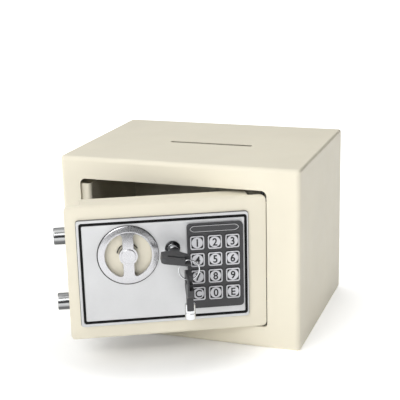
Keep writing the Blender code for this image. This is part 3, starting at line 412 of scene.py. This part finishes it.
def block(low, high):
    low, high = Vector(low), Vector(high)
    bm = bmesh.new()
    bmesh.ops.create_cube(bm, size=1.0)
    bmesh.ops.scale(bm, vec=high - low, verts=bm.verts)
    bmesh.ops.translate(bm, vec=(low + high) / 2, verts=bm.verts)
    return from_bmesh(bm)


def arc(centre_x, centre_y, radius, start_deg, end_deg, steps):
    points = []
    for step in range(steps + 1):
        angle = math.radians(start_deg + (end_deg - start_deg) * step / steps)
        points.append((centre_x + radius * math.cos(angle), centre_y + radius * math.sin(angle)))
    return points


def circle(x, y, radius, sides=96):
    return arc(x, y, radius, 0, 360, sides)[:-1]


def rounded(left, right, bottom, top, radius, steps=10):
    outline = arc(right - radius, top - radius, radius, 0, 90, steps)
    outline += arc(left + radius, top - radius, radius, 90, 180, steps)
    outline += arc(left + radius, bottom + radius, radius, 180, 270, steps)
    outline += arc(right - radius, bottom + radius, radius, 270, 360, steps)
    return outline


def square(x, z, half, radius, steps=10):
    return rounded(x - half, x + half, z - half, z + half, radius, steps)


def inset(box, by):
    left, right, bottom, top = box
    return left + by, right - by, bottom + by, top - by


def slab(low, high, outline, holes=()):
    """An outline in X and Y with holes, extruded from one height to another."""
    curve = bpy.data.curves.new("slab", "CURVE")
    curve.dimensions = "2D"
    curve.fill_mode = "BOTH"
    curve.extrude = (high - low) / 2
    for points in (outline, *holes):
        spline = curve.splines.new("POLY")
        spline.points.add(len(points) - 1)
        for point, (x, y) in zip(spline.points, points):
            point.co = (x, y, 0.0, 1.0)
        spline.use_cyclic_u = True
    mesh = evaluated(temporary("slab", curve))
    bm = bmesh.new()
    bm.from_mesh(mesh)
    bmesh.ops.remove_doubles(bm, verts=bm.verts, dist=1e-6)
    bmesh.ops.translate(bm, vec=(0, 0, (low + high) / 2), verts=bm.verts)
    return from_bmesh(bm)


def facing(back, front, outline, holes=()):
    """A sheet parallel to the shut door, between two distances in front of its face."""
    mesh = slab(back, front, outline, holes)
    mesh.transform(Matrix.Translation((0, FRONT, 0)) @ UPRIGHT)
    return mesh


def turned(profile, matrix, sides=96):
    """A profile of (radius, height) points turned about the Z axis, then moved by the matrix."""
    bm = bmesh.new()
    verts = [bm.verts.new((radius, 0, height)) for radius, height in profile]
    edges = [bm.edges.new(pair) for pair in zip(verts, verts[1:] + verts[:1])]
    bmesh.ops.spin(
        bm, geom=verts + edges, cent=(0, 0, 0), axis=(0, 0, 1), angle=math.tau, steps=sides, use_merge=True
    )
    bmesh.ops.remove_doubles(bm, verts=bm.verts, dist=1e-6)
    bmesh.ops.dissolve_degenerate(bm, edges=bm.edges, dist=1e-7)
    mesh = from_bmesh(bm)
    mesh.transform(matrix)
    return mesh


def on_door(x, z, proud=0.0):
    """Places a shape turned about Z so that it stands out from the shut door at x, z."""
    return Matrix.Translation((x, FRONT - proud, z)) @ UPRIGHT


def disc(radius, low, high, edge=0.0, steps=4):
    """The profile of a round bar with rounded ends."""
    if not edge:
        return [(0.0, low), (radius, low), (radius, high), (0.0, high)]
    profile = [(0.0, low)] + arc(radius - edge, low + edge, edge, -90, 0, steps)
    return profile + arc(radius - edge, high - edge, edge, 0, 90, steps) + [(0.0, high)]


def bar(start, end, radius, edge=0.0, sides=96):
    """A round bar between two points."""
    start, end = Vector(start), Vector(end)
    along = end - start
    turn = Vector((0, 0, 1)).rotation_difference(along).to_matrix().to_4x4()
    return turned(disc(radius, 0.0, along.length, edge), Matrix.Translation(start) @ turn, sides)


def side_section(left, right, outline):
    """An outline in Y and Z, extruded along X."""
    mesh = slab(left, right, outline)
    mesh.transform(Matrix.Rotation(math.radians(90), 4, "Z") @ Matrix.Rotation(math.radians(90), 4, "X"))
    return mesh


def corner_rounded(points, corners, reach, steps=6):
    """The closed outline with the numbered corners replaced by smooth turns."""
    lengths = [math.dist(a, b) for a, b in zip(points, points[1:] + points[:1])]

    def walk(index, direction):
        """The point at the reach along the outline, and the last corner passed."""
        left, here = reach, index
        while True:
            step = here if direction > 0 else (here - 1) % len(points)
            other = (here + direction) % len(points)
            if lengths[step] >= left:
                start, end = Vector(points[here]), Vector(points[other])
                return start.lerp(end, left / lengths[step]), here
            left -= lengths[step]
            here = other

    skipped, turns = set(), {}
    for corner in corners:
        before, first = walk(corner, -1)
        after, last = walk(corner, 1)
        here = first
        while here != last:
            skipped.add(here)
            here = (here + 1) % len(points)
        skipped.add(last)
        middle = Vector(points[corner])
        turns[corner] = [
            tuple(before.lerp(middle, t / steps).lerp(middle.lerp(after, t / steps), t / steps))
            for t in range(steps + 1)
        ]
    outline = []
    for index, point in enumerate(points):
        if index in turns:
            outline += turns[index]
        elif index not in skipped:
            outline.append(point)
    return outline


def refined(name, node, softness):
    """A copy of a plain node with cleaned faces and softened edges, which stands for it."""
    source = frame["nodes"][node]
    bm = bmesh.new()
    bm.from_mesh(source.data)
    bmesh.ops.remove_doubles(bm, verts=bm.verts, dist=2e-6)
    bmesh.ops.dissolve_limit(bm, angle_limit=math.radians(1), verts=bm.verts, edges=bm.edges)
    mesh = from_bmesh(bm)
    finished(
        name, mesh, body_of[node], [node], slot_of[node], softness=softness, steps=2, angle=40
    )


body_of = {
    node: body for body, nodes in frame["record"]["behaviour"]["bodies"].items() for node in nodes
}
slot_of = {entry["node"]: entry["material_slot"] for entry in frame["record"]["subparts"]}


# Body


def doorway_outline():
    left, right, low, top = DOORWAY
    foot, turn = DOORWAY_FOOT_RADIUS, DOORWAY_RADIUS
    outline = arc(right - turn, top - turn, turn, 0, 90, 12)
    outline += arc(left + turn, top - turn, turn, 90, 180, 12)
    outline += arc(left + foot, low + foot, foot, 180, 270, 10)
    return outline + arc(right - foot, low + foot, foot, 270, 360, 10)


def safe_body():
    """The folded wrap and front frame, with its doorway, jamb, lip and holes."""
    bm = bmesh.new()
    bmesh.ops.create_cube(bm, size=1.0)
    bmesh.ops.scale(bm, vec=(WIDTH, DEPTH, HEIGHT), verts=bm.verts)
    bmesh.ops.translate(bm, vec=(0, 0, HEIGHT / 2), verts=bm.verts)
    bmesh.ops.delete(bm, geom=[f for f in bm.faces if f.normal.y > 0.9], context="FACES_ONLY")
    weight = bm.edges.layers.float.new("bevel_weight_edge")
    for edge in bm.edges:
        ends = [vertex.co.y for vertex in edge.verts]
        if max(ends) < 0:
            edge[weight] = 1.0
        elif min(ends) < 0:
            edge[weight] = SIDE_RADIUS / FRONT_RADIUS
    wrap = temporary("wrap", from_bmesh(bm))
    rounding = wrap.modifiers.new("Bevel", "BEVEL")
    rounding.limit_method = "WEIGHT"
    rounding.width = FRONT_RADIUS
    rounding.segments = 12
    thick = wrap.modifiers.new("Solidify", "SOLIDIFY")
    thick.thickness = WALL
    thick.offset = -1.0
    thick.use_even_offset = True
    shell = evaluated(wrap)

    left, right, low, top = DOORWAY
    front = FRONT + WALL / 2
    foot_lip = block((-0.080, front, low - WALL), (right - 0.0010, FRONT + LIP_DEPTH, low + WALL))
    side_lip = block((right + 0.0005, front, 0.030), (right + 0.0025, FRONT + LIP_DEPTH, 0.138))
    shell = combine(shell, foot_lip, side_lip, operation="UNION")
    pin_hole = bar((HINGE.x, HINGE.y, 0.016), (HINGE.x, HINGE.y, 0.024), PIN_RADIUS + 0.0006, sides=48)
    shell = combine(shell, facing(-JAMB_DEPTH, 0.001, doorway_outline()), pin_hole)
    edge, step, rear, bend = left - 0.0003, FRONT + JAMB_STEP, FRONT + JAMB_DEPTH, JAMB_BEND
    section = [(left - 0.004, step + JAMB_SHEET), (left - 0.004, front), (edge, front), (edge, step)]
    section += arc(JAMB_RIGHT - bend, step + bend, bend, -90, 0, 14)
    section += [(JAMB_RIGHT, rear), (JAMB_RIGHT - JAMB_SHEET, rear)]
    section += arc(JAMB_RIGHT - bend, step + bend, bend - JAMB_SHEET, 0, -90, 14)
    shell = combine(shell, slab(low + JAMB_RELIEF, top - JAMB_RELIEF, section), operation="UNION")
    cutters = []
    for side in (-1, 1):
        depth, z = FRONT + BOLT_BEHIND, BOLT_MIDDLE_Z + side * BOLT_SPREAD
        start, end = (left - 0.010, depth, z), (JAMB_RIGHT + 0.001, depth, z)
        cutters.append(bar(start, end, BOLT_RADIUS + 0.0005, sides=64))
        start, end = (side * ANCHOR_X, ANCHOR_Y, -0.001), (side * ANCHOR_X, ANCHOR_Y, 0.003)
        cutters.append(bar(start, end, ANCHOR_RADIUS))
    cutters.append(slab(HEIGHT - 0.004, HEIGHT + 0.001, rounded(*SLOT, 0.0012, 8)))
    thinned = inset(SLOT, -0.003)
    cutters.append(slab(HEIGHT - 0.004, HEIGHT - SLOT_SHEET, rounded(*thinned, 0.0030, 8)))
    shell = combine(shell, *cutters)
    finished("safe_body", shell, "cabinet", ["body_shell"], "cream_paint", softness=0.0004, angle=42)


def felt_mat():
    """The floor's felt, as one thin sheet with holes over the anchor holes."""
    outline = rounded(-0.110, 0.110, -0.078, 0.080, 0.002, 4)
    holes = [circle(side * ANCHOR_X, ANCHOR_Y, ANCHOR_RADIUS + 0.001, 48) for side in (-1, 1)]
    mesh = slab(WALL + GAP, WALL + GAP + 0.002, outline, holes)
    mat = finished("felt_floor_mat", mesh, "cabinet", ["floor_mat"], "dark_felt", softness=0.0006)


# Door


def door_front():
    """The door plate with rolled top and bottom edges and its cover posts."""
    left, right, low, top = DOOR
    rear, bend = FRONT + FLANGE_DEPTH, FRONT + BEND_RADIUS
    channel = [(rear, top)] + arc(bend, top - BEND_RADIUS, BEND_RADIUS, 90, 180, 12)
    channel += arc(bend, low + BEND_RADIUS, BEND_RADIUS, 180, 270, 12) + [(rear, low), (rear, low + PLATE)]
    channel += [(FRONT + PLATE, low + PLATE), (FRONT + PLATE, top - PLATE), (rear, top - PLATE)]
    panel = side_section(left, right, channel)
    ends = [
        block((a, FRONT + PLATE, 0.010), (b, FRONT + 0.030, 0.160))
        for a, b in ((left - 0.001, FLANGE_LEFT), (FLANGE_RIGHT, right + 0.001))
    ]
    panel = combine(panel, *ends)
    corners = facing(-0.030, 0.001, rounded(left, right, low, top, DOORWAY_RADIUS, 12))
    panel = combine(panel, corners, operation="INTERSECT")
    cutters = [
        turned(disc(0.0044, -0.004, 0.002), on_door(KNOB_X, KNOB_Z), 64),
        turned(disc(LOCK_RADIUS + GAP, -0.004, 0.002), on_door(LOCK_X, LOCK_Z), 64),
        facing(-0.004, 0.002, rounded(0.025, 0.045, 0.050, 0.055, 0.001)),
    ]
    panel = combine(panel, *cutters)
    middle = (low + top) / 2
    for x in (-0.066, 0.052):
        for z in (middle + 0.0568, middle - 0.0568):
            post = turned(disc(0.0028, -FLANGE_DEPTH, -PLATE / 2), on_door(x, z), 32)
            hole = turned(disc(0.0016, -FLANGE_DEPTH - 0.001, -PLATE - 0.001), on_door(x, z), 24)
            panel = combine(combine(panel, post, operation="UNION"), hole)
    finished(
        "door_front", panel, "door", ["door_panel"], "cream_paint",
        softness=0.0007, steps=4, angle=42, matrix=SWING,
    )


def control_plate():
    """The satin plate with a bright chamfer, a dark line sunk in it and windows for the controls."""
    plate = softened(facing(GAP, FASCIA_FACE, rounded(*FASCIA, 0.0024, 10)), 0.0008, 4)
    pad = inset(PAD, 0.0015)
    reach = BORDER_WIDTH + 2 * GAP
    groove = facing(
        FASCIA_FACE - 0.0008, 0.004, rounded(*BORDER, 0.0026), [rounded(*inset(BORDER, reach), 0.0010)]
    )
    plate = combine(
        plate, groove, facing(-0.001, 0.005, rounded(*pad, 0.0005, 3)),
        turned(disc(KNOB_RADIUS - 0.003, -0.001, 0.005), on_door(KNOB_X, KNOB_Z), 96),
        turned(disc(LOCK_RADIUS + 0.0004, -0.001, 0.005), on_door(LOCK_X, LOCK_Z), 64),
    )
    finished("control_plate", plate, "door", ["fascia"], "satin_silver", angle=30, matrix=SWING)
    seam = facing(
        0.0, 0.0009, rounded(*inset(FASCIA, -0.0005), 0.0028),
        [rounded(*inset(FASCIA, -0.00004), 0.0024)],
    )
    finished("control_plate_seal", seam, "door", [], "dark_plastic", matrix=SWING, coat="plate_seal")
    line = facing(
        FASCIA_FACE - 0.0005, FASCIA_FACE, rounded(*inset(BORDER, GAP), 0.0024),
        [rounded(*inset(BORDER, reach - GAP), 0.0011)],
    )
    finished(
        "control_plate_line", line, "door", ["fascia_border"], "black_inlay",
        softness=0.0001, matrix=SWING,
    )


def key_places():
    for index, name in enumerate(("1", "2", "3", "4", "5", "6", "7", "8", "9", "c", "0", "e")):
        row, column = divmod(index, 3)
        yield name, KEY_X + column * KEY_PITCH_X, KEY_Z - row * KEY_PITCH_Z


def lozenge(length, height):
    """A long window with blunt points at its ends."""
    left, right = LENS_X - length / 2, LENS_X + length / 2
    low, high = LENS_Z - height / 2, LENS_Z + height / 2
    points = [
        (left, LENS_Z), (left + LENS_POINT, low), (right - LENS_POINT, low),
        (right, LENS_Z), (right - LENS_POINT, high), (left + LENS_POINT, high),
    ]
    return corner_rounded(points, range(6), LENS_TURN)


def keypad_frame():
    """The dark surround of the keys, with a recess for the window, and the window with a thin pale outline.
    """
    body = softened(facing(FASCIA_FACE + GAP, PAD_FACE, rounded(*PAD, 0.0035)), 0.0009, 4)
    holes = [square(x, z, KEY_SIZE / 2 + GAP, KEY_CORNER, 6) for _, x, z in key_places()]
    body = combine(
        body,
        facing(0.0, 0.0040, rounded(*inset(PAD, 0.0015), 0.001, 3)),
        facing(-0.001, 0.007, holes[0], holes[1:]),
        facing(0.0045, 0.007, lozenge(LENS_LENGTH + 2 * GAP, LENS_HEIGHT + 2 * GAP)),
    )
    finished("keypad_frame", body, "door", ["keypad_bezel"], "dark_plastic", angle=30, matrix=SWING)
    window = softened(facing(0.0048, 0.0057, lozenge(LENS_LENGTH, LENS_HEIGHT)), 0.0002, 2)
    loop = lozenge(LENS_LENGTH - 0.0007, LENS_HEIGHT - 0.0007)
    hole = lozenge(LENS_LENGTH - 0.0017, LENS_HEIGHT - 0.0017)
    line = numbered(facing(0.0056, 0.00578, loop, [hole]), 1)
    finished(
        "number_window", merged(numbered(window, 0), line), "door", ["display_lens"], "smoked_lens",
        ["lens_line"], matrix=SWING,
    )


def figure(text, x, z, proud):
    """A printed figure on a key, standing a little out of its face."""
    curve = bpy.data.curves.new("figure", "FONT")
    curve.body = text
    curve.align_x = "CENTER"
    curve.size = FIGURE_SIZE
    curve.extrude = 0.00006
    curve.offset = 0.0002
    mesh = evaluated(temporary("figure", curve))
    heights = [vertex.co.y for vertex in mesh.vertices]
    widths = [vertex.co.x for vertex in mesh.vertices]
    middle = Vector(((max(widths) + min(widths)) / 2, (max(heights) + min(heights)) / 2, 0))
    narrowed = Matrix.Diagonal((0.92, 1.0, 1.0, 1.0))
    mesh.transform(on_door(x, z, proud) @ narrowed @ Matrix.Translation(-middle))
    return numbered(mesh, 2)


def number_key(name, x, z):
    """A key: a dark cap with a raised pale rim, a pale round pad and its figure."""
    half, face = KEY_SIZE / 2, KEY_FACE
    cap = softened(facing(0.0034, face - 0.0009, square(x, z, half, 0.0018)), 0.0003)
    flange = facing(0.0032, 0.0038, square(x, z, half + 0.0006, 0.001))
    outer, inner = square(x, z, half, KEY_CORNER), square(x, z, half - KEY_RIM, 0.0012)
    frame_ring = softened(facing(face - 0.0011, face - 0.00012, outer, [inner]), 0.00025, 3)
    pad = [(0.0, face - 0.0010), (KEY_DISC_RADIUS, face - 0.0010), (KEY_DISC_RADIUS, face - 0.0004)]
    pad += arc(KEY_DISC_RADIUS - 0.0003, face - 0.0004, 0.0003, 0, 90, 4)
    pad += [(0.0030, face - 0.00018), (0.0, face - 0.00022)]
    button = turned(pad, on_door(x, z), 64)
    cap_mesh = merged(
        numbered(button, 0), numbered(frame_ring, 0), numbered(cap, 1), numbered(flange, 1),
        figure(name.upper(), x, z, face - 0.00012),
    )
    finished(
        f"number_key_{name}", cap_mesh, f"button_{name}", [f"keypad_key_{name}"], "key_grey",
        ["key_well", "digit_ink"], matrix=SWING,
    )


def dome(radius):
    """The height of the knob's domed face at a distance from its middle."""
    return KNOB_EDGE + KNOB_CROWN * (KNOB_RADIUS ** 2 - radius ** 2)


def knob():
    """The domed chrome ring with its grip bar, flared at the ends, and the round hub."""
    place = on_door(KNOB_X, KNOB_Z)
    edge = KNOB_RADIUS - 0.0004
    ring = [(KNOB_INNER, KNOB_BASE), (KNOB_INNER, dome(KNOB_INNER) - 0.0008)]
    ring += [(KNOB_INNER + 0.0002, dome(KNOB_INNER) - 0.0003)]
    ring += [(KNOB_INNER + 0.0007, dome(KNOB_INNER + 0.0007))]
    ring += [(radius, dome(radius)) for radius in (0.0222, 0.0234, 0.0246, 0.0256, edge)]
    ring += [(KNOB_RADIUS, KNOB_EDGE - 0.0003), (KNOB_RADIUS - 0.0014, KNOB_BASE)]
    half, hub, inner = 0.0047, KNOB_HUB + 0.0003, KNOB_INNER + 0.0004
    start = math.degrees(math.acos(half / inner))
    meet = math.degrees(math.acos(half / hub))
    web = [(0.0, KNOB_BASE), (0.0, dome(0.0))]
    web += [(radius / 1000, dome(radius / 1000)) for radius in range(1, 22)] + [(0.021, KNOB_BASE)]
    web = turned(web, place, 128)
    moons = []
    for side in (-1, 1):
        outer = [(side * x, y) for x, y in arc(0, 0, inner, -start, start, 60)]
        around = [(side * x, y) for x, y in arc(0, 0, hub, meet, -meet, 28)]
        outline = corner_rounded(outer + around, [0, len(outer) - 1], 0.0045, 10)
        moon = slab(0.0, 0.02, outline[::side])
        moon.transform(place)
        moons.append(moon)
    web = softened(combine(web, *moons), 0.0004, 3)
    cap = disc(KNOB_HUB - 0.0012, KNOB_BASE, dome(0.0) + 0.0004, 0.0007)
    mesh = merged(turned(ring, place, 160), web, turned(cap, place, 96))
    finished("grip_knob", mesh, "knob_assembly", ["knob"], "chrome_plate", matrix=SWING, angle=40)


def knob_shadows():
    """Painted shadow: dark slits beside the hub, and a thin dark ring under the knob's rim, set a little
    down and to the left.
    """
    slits = []
    # Dark arcs beside the hub: painted shadow
    for side, low, high in ((-1, 8, 58), (1, 30, 62)):
        outer = [(side * x, y) for x, y in arc(0, 0, 0.0100, low, high, 16)]
        inner_arc = [(side * x, y) for x, y in arc(0, 0, 0.0092, high, low, 16)]
        slit = slab(0.0008, 0.0013, outer + inner_arc)
        slit.transform(on_door(KNOB_X, KNOB_Z))
        slits.append(numbered(slit, 0))
    finished(
        "knob_shadow_slits", merged(*slits), "door", [], "dark_plastic", matrix=SWING, coat="hub_shadow"
    )
    # A thin dark ring under the rim, shifted down and left: painted shadow round the knob
    inside, outside = KNOB_RADIUS - 0.0020, KNOB_RADIUS + 0.0004
    shadow_profile = [
        (inside, FASCIA_FACE), (inside, KNOB_BASE), (outside, KNOB_BASE), (outside + 0.0003, FASCIA_FACE),
    ]
    shadow_ring = turned(shadow_profile, on_door(KNOB_X - 0.0002, KNOB_Z - 0.0006), 128)
    finished("knob_painted_shadow_ring", shadow_ring, "door", [], "dark_plastic", matrix=SWING, coat="hub_shadow")


def bolts():
    for name, side in (("upper", 1), ("lower", -1)):
        z = BOLT_MIDDLE_Z + side * BOLT_SPREAD
        start, end = (BOLT_TIP, FRONT + BOLT_BEHIND, z), (BOLT_END, FRONT + BOLT_BEHIND, z)
        # The bolts take the steel with painted reflections, light and dark bands along them
        mesh = bar(start, end, BOLT_RADIUS, 0.0010, 128)
        finished(
            f"locking_bolt_{name}", mesh, "bolt_carriage", [f"bolt_{name}"], "bright_steel",
            matrix=SWING, coat="bolt_painted_reflections",
        )


def lock():
    """The lock's notched collar and the core that a tubular key slips over."""
    ring = [
        (LOCK_BORE, -LOCK_BACK), (LOCK_BORE, LOCK_FACE - 0.0008),
        (LOCK_BORE + 0.0004, LOCK_FACE - 0.0002), (LOCK_RADIUS - 0.0010, LOCK_FACE),
        (LOCK_RADIUS - 0.0002, LOCK_FACE - 0.0006), (LOCK_RADIUS, LOCK_FACE - 0.0014),
        (LOCK_RADIUS, -LOCK_BACK),
    ]
    place = on_door(LOCK_X, LOCK_Z)
    collar = turned(ring, place, 96)
    notches = []
    for step in range(8):
        angle = math.radians(22.5 + 45 * step)
        x, z = LOCK_X + 0.0053 * math.cos(angle), LOCK_Z + 0.0053 * math.sin(angle)
        notch = disc(0.00075, LOCK_FACE - 0.0007, LOCK_FACE + 0.001)
        notches.append(turned(notch, on_door(x, z), 24))
    collar = combine(collar, *notches)
    # The collar's front faces take a dark colour: painted shade and dark reflection on its chrome
    for face in collar.polygons:
        face.material_index = int(face.center.y < FRONT - LOCK_FACE + 0.0009)
    finished(
        "lock_collar", collar, "door", ["lock_body"], "bright_steel", ["lock_painted_dark_face"],
        angle=30, matrix=SWING,
    )
    core = disc(0.0030, -0.0050, 0.0026, 0.0004)
    rear = disc(LOCK_BORE - GAP, -LOCK_BACK - GAP, -0.0045, 0.0003)
    mesh = merged(turned(core, place, 64), turned(rear, place, 64))
    finished("lock_core", mesh, "override_key", ["lock_plug"], "bright_steel", matrix=SWING)


def key_bow(name, body, node, matrix):
    """A key's moulded bow with a slot for the ring, a thinned end and a raised rib."""
    half, neck = BOW_HALF, BOW_NECK
    outline = [(neck, TUBE_LENGTH - FORK_DEPTH + GAP), (neck, 0.0195)]
    outline += arc(half - 0.0030, 0.0262, 0.0030, -45, 0, 8)
    outline += arc(half - 0.0040, BOW_END - 0.0040, 0.0040, 0, 90, 10)
    outline += [(-x, y) for x, y in reversed(outline)]
    hole = rounded(-BOW_SLOT_HALF, BOW_SLOT_HALF, *BOW_SLOT, 0.0016, 8)
    thick = BOW_THICKNESS / 2
    bow = softened(slab(-thick, thick, outline, [hole]), 0.0009, 4)
    step = RIM_THICKNESS - thick
    thinning = block(
        (-half - 0.001, BOW_SLOT[0] - 0.003, step), (0.001 - BOW_SLOT_HALF, BOW_END + 0.001, 0.004)
    )
    bow = combine(bow, softened(thinning, 0.0006))
    finished(name, bow, body, [node], "dark_plastic", angle=40, matrix=SWING @ matrix)


def key_tube(name, body, node, matrix):
    """A tubular key's barrel: a bored tube with a driving nib and a fork for the bow."""
    outside, end, floor = TUBE_RADIUS, TUBE_LENGTH, TUBE_LENGTH - FORK_DEPTH - 0.0015
    profile = [
        (TUBE_BORE, 0.0002), (TUBE_BORE + 0.0002, 0.0), (outside - 0.0004, 0.0), (outside, 0.0004),
        (outside, 0.0052), (outside - 0.0003, 0.0055), (outside - 0.0003, 0.0060), (outside, 0.0063),
        (outside, end - 0.0004), (outside - 0.0004, end), (0.0, end), (0.0, floor), (TUBE_BORE, floor),
    ]
    tube = turned(profile, Matrix.Rotation(math.radians(-90), 4, "X"), 96)
    half = BOW_THICKNESS / 2 + GAP
    fork = block((-0.006, TUBE_LENGTH - FORK_DEPTH, -half), (0.006, TUBE_LENGTH + 0.001, half))
    dimple = bar((0, 0.0030, TUBE_RADIUS - 0.0005), (0, 0.0030, TUBE_RADIUS + 0.001), 0.0006, sides=24)
    tube = combine(tube, fork, dimple)
    finished(name, tube, body, [node], "bright_steel", angle=40, matrix=SWING @ matrix)


def keys():
    tilt = Matrix.Rotation(math.radians(KEY_TILT_DEG), 4, "Y")
    tip = Matrix.Translation((LOCK_X, FRONT + TUBE_TIP_BEHIND, LOCK_Z))
    place = tip @ tilt @ Matrix.Rotation(math.pi, 4, "Z")
    key_bow("inserted_key_bow", "override_key", "key_bow", place)
    key_tube("inserted_key_tube", "override_key", "key_barrel", place)
    slot_top = RING_Z - RING_RADIUS + RING_WIRE + GAP
    hung = Matrix.Translation((RING_X, FRONT - RING_PROUD, slot_top - BOW_SLOT[1]))
    hung = hung @ Matrix.Rotation(math.radians(90), 4, "Z") @ Matrix.Rotation(math.radians(90), 4, "X")
    key_bow("hanging_key_bow", "spare_key", "spare_key_bow", hung)
    key_tube("hanging_key_tube", "spare_key", "spare_key_barrel", hung)
    wire = turned(circle(RING_RADIUS, 0, RING_WIRE + 0.0001, 16), Matrix(), 128)
    finished(
        "split_key_ring", wire, "key_ring_body", ["key_ring"], "bright_steel", angle=60,
        matrix=SWING @ on_door(RING_X, RING_Z, RING_PROUD),
    )


def inner_pieces():
    """The plain nodes that take softer edges, and the ones that keep their shape."""
    for name, node, soft in (
        ("rear_panel", "back_panel", 0.0004),
        ("rear_door_cover", "inner_cover", 0.0005),
        ("battery_door", "battery_cover", 0.0004),
        ("cell_tray", "battery_box", 0.0002),
        ("bolt_upright", "bolt_guide", 0.0002),
        ("bolt_carriage_plate", "slide_plate", 0.0002),
        ("solenoid_bracket", "solenoid_frame", 0.0002),
        ("hinge_angle_upper", "hinge_bracket_upper", 0.0002),
        ("hinge_angle_lower", "hinge_bracket_lower", 0.0002),
        ("hinge_ear_upper", "hinge_lug_upper", 0.0002),
        ("hinge_ear_lower", "hinge_lug_lower", 0.0002),
        ("lock_clamp_nut", "lock_nut", 0.0003),
    ):
        refined(name, node, soft)
    for node, obj in frame["nodes"].items():
        obj.data.materials.clear()
        obj.data.materials.append(MATERIALS[slot_of[node]])


# Light and camera


def camera():
    azimuth, elevation, roll = math.radians(19.84), math.radians(16.30), math.radians(-1.52)
    level = math.cos(elevation)
    back = Vector((math.sin(azimuth) * level, -math.cos(azimuth) * level, math.sin(elevation)))
    right = Vector((0, 0, 1)).cross(back).normalized()
    turn = Matrix((right, back.cross(right), back)).transposed().to_4x4()
    lens = bpy.data.cameras.new("camera")
    lens.lens, lens.sensor_width, lens.clip_start = 89.65, 36.0, 0.01
    holder = bpy.data.objects.new("camera", lens)
    place = Vector((-0.0077, 0.0, 0.1108)) + back * 0.9863
    holder.matrix_world = Matrix.Translation(place) @ turn @ Matrix.Rotation(roll, 4, "Z")
    scene.collection.objects.link(holder)
    scene.camera = holder


def area_light(name, place, target, size, power):
    data = bpy.data.lights.new(name, "AREA")
    data.shape = "RECTANGLE"
    data.size, data.size_y = size
    data.energy = power
    holder = bpy.data.objects.new(name, data)
    holder.location = place
    holder.rotation_mode = "QUATERNION"
    holder.rotation_quaternion = (Vector(target) - Vector(place)).to_track_quat("-Z", "Y")
    scene.collection.objects.link(holder)


def sky():
    """A bright studio: dimmer to the right and in a band above the horizon, for the bright metal."""
    world = bpy.data.worlds.new("studio")
    scene.world = world
    world.use_nodes = True
    tree = world.node_tree
    direction = tree.nodes.new("ShaderNodeTexCoord").outputs["Generated"]
    parts = tree.nodes.new("ShaderNodeSeparateXYZ")
    tree.links.new(direction, parts.inputs["Vector"])
    stops = [(0.0, 0.75), (0.02, 0.60), (0.07, 0.33), (0.34, 0.40), (0.48, 1.05), (1.0, 2.1)]
    band = banded(tree, parts.outputs["Z"], stops, (1.0, 1.0, 0.985))
    side = remapped(tree, parts.outputs["X"], (-0.15, 0.22), (1.0, 0.0))
    back = tree.nodes["Background"]
    tree.links.new(band, back.inputs["Color"])
    tree.links.new(side.outputs["Result"], back.inputs["Strength"])


def studio():
    """Two lights and a pale paper floor with painted light: its faint glow thins the shadows away from the
    door.
    """
    sky()
    area_light("key", (0.0, -1.4, 1.0), (0, 0, 0.08), (0.9, 0.9), 11.0)
    area_light("side_fill", (0.34, 0.0, 0.015), (0.1, 0.0, 0.02), (0.3, 0.03), 0.03)
    bm = bmesh.new()
    bmesh.ops.create_grid(bm, x_segments=24, y_segments=24, size=9.0)
    mesh = from_bmesh(bm)
    paper = Shader("studio_paper_painted_glow", Roughness=0.9, Emission_Color=(1, 1, 1, 1))
    # Painted light: the floor glows, dim near a point in front of and left of the safe and brighter further
    # off, painting a soft shadow round the body and a white floor beyond
    reach = paper.tree.nodes.new("ShaderNodeVectorMath")
    reach.operation = "DISTANCE"
    paper.link(paper.place, reach.inputs[0])
    reach.inputs[1].default_value = (-0.05, -0.05, 0.0)
    near = remapped(paper.tree, reach.outputs["Value"], (0.11, 0.17), (0.09, 0.49))
    near.interpolation_type = "SMOOTHSTEP"
    far = remapped(paper.tree, reach.outputs["Value"], (0.3, 1.3), (0.0, 0.16))
    glow = paper.tree.nodes.new("ShaderNodeMath")
    paper.link(near.outputs["Result"], glow.inputs[0])
    paper.link(far.outputs["Result"], glow.inputs[1])
    paper.link(glow.outputs["Value"], paper.bsdf.inputs["Emission Strength"])
    paper.colours(paper.noise(3.0), (0.89, 0.89, 0.89), (0.91, 0.91, 0.91))
    paper.bump(paper.noise(400.0), 0.0001, 0.1)
    mesh.materials.append(paper.material)
    floor = bpy.data.objects.new("studio_floor", mesh)
    floor.location = (0, 0, -0.0002)
    scene.collection.objects.link(floor)
    scene.view_settings.view_transform = "Standard"


safe_body()
felt_mat()
door_front()
control_plate()
keypad_frame()
for key_name, key_x, key_z in key_places():
    number_key(key_name, key_x, key_z)
knob()
knob_shadows()
bolts()
lock()
keys()
inner_pieces()
camera()
studio()
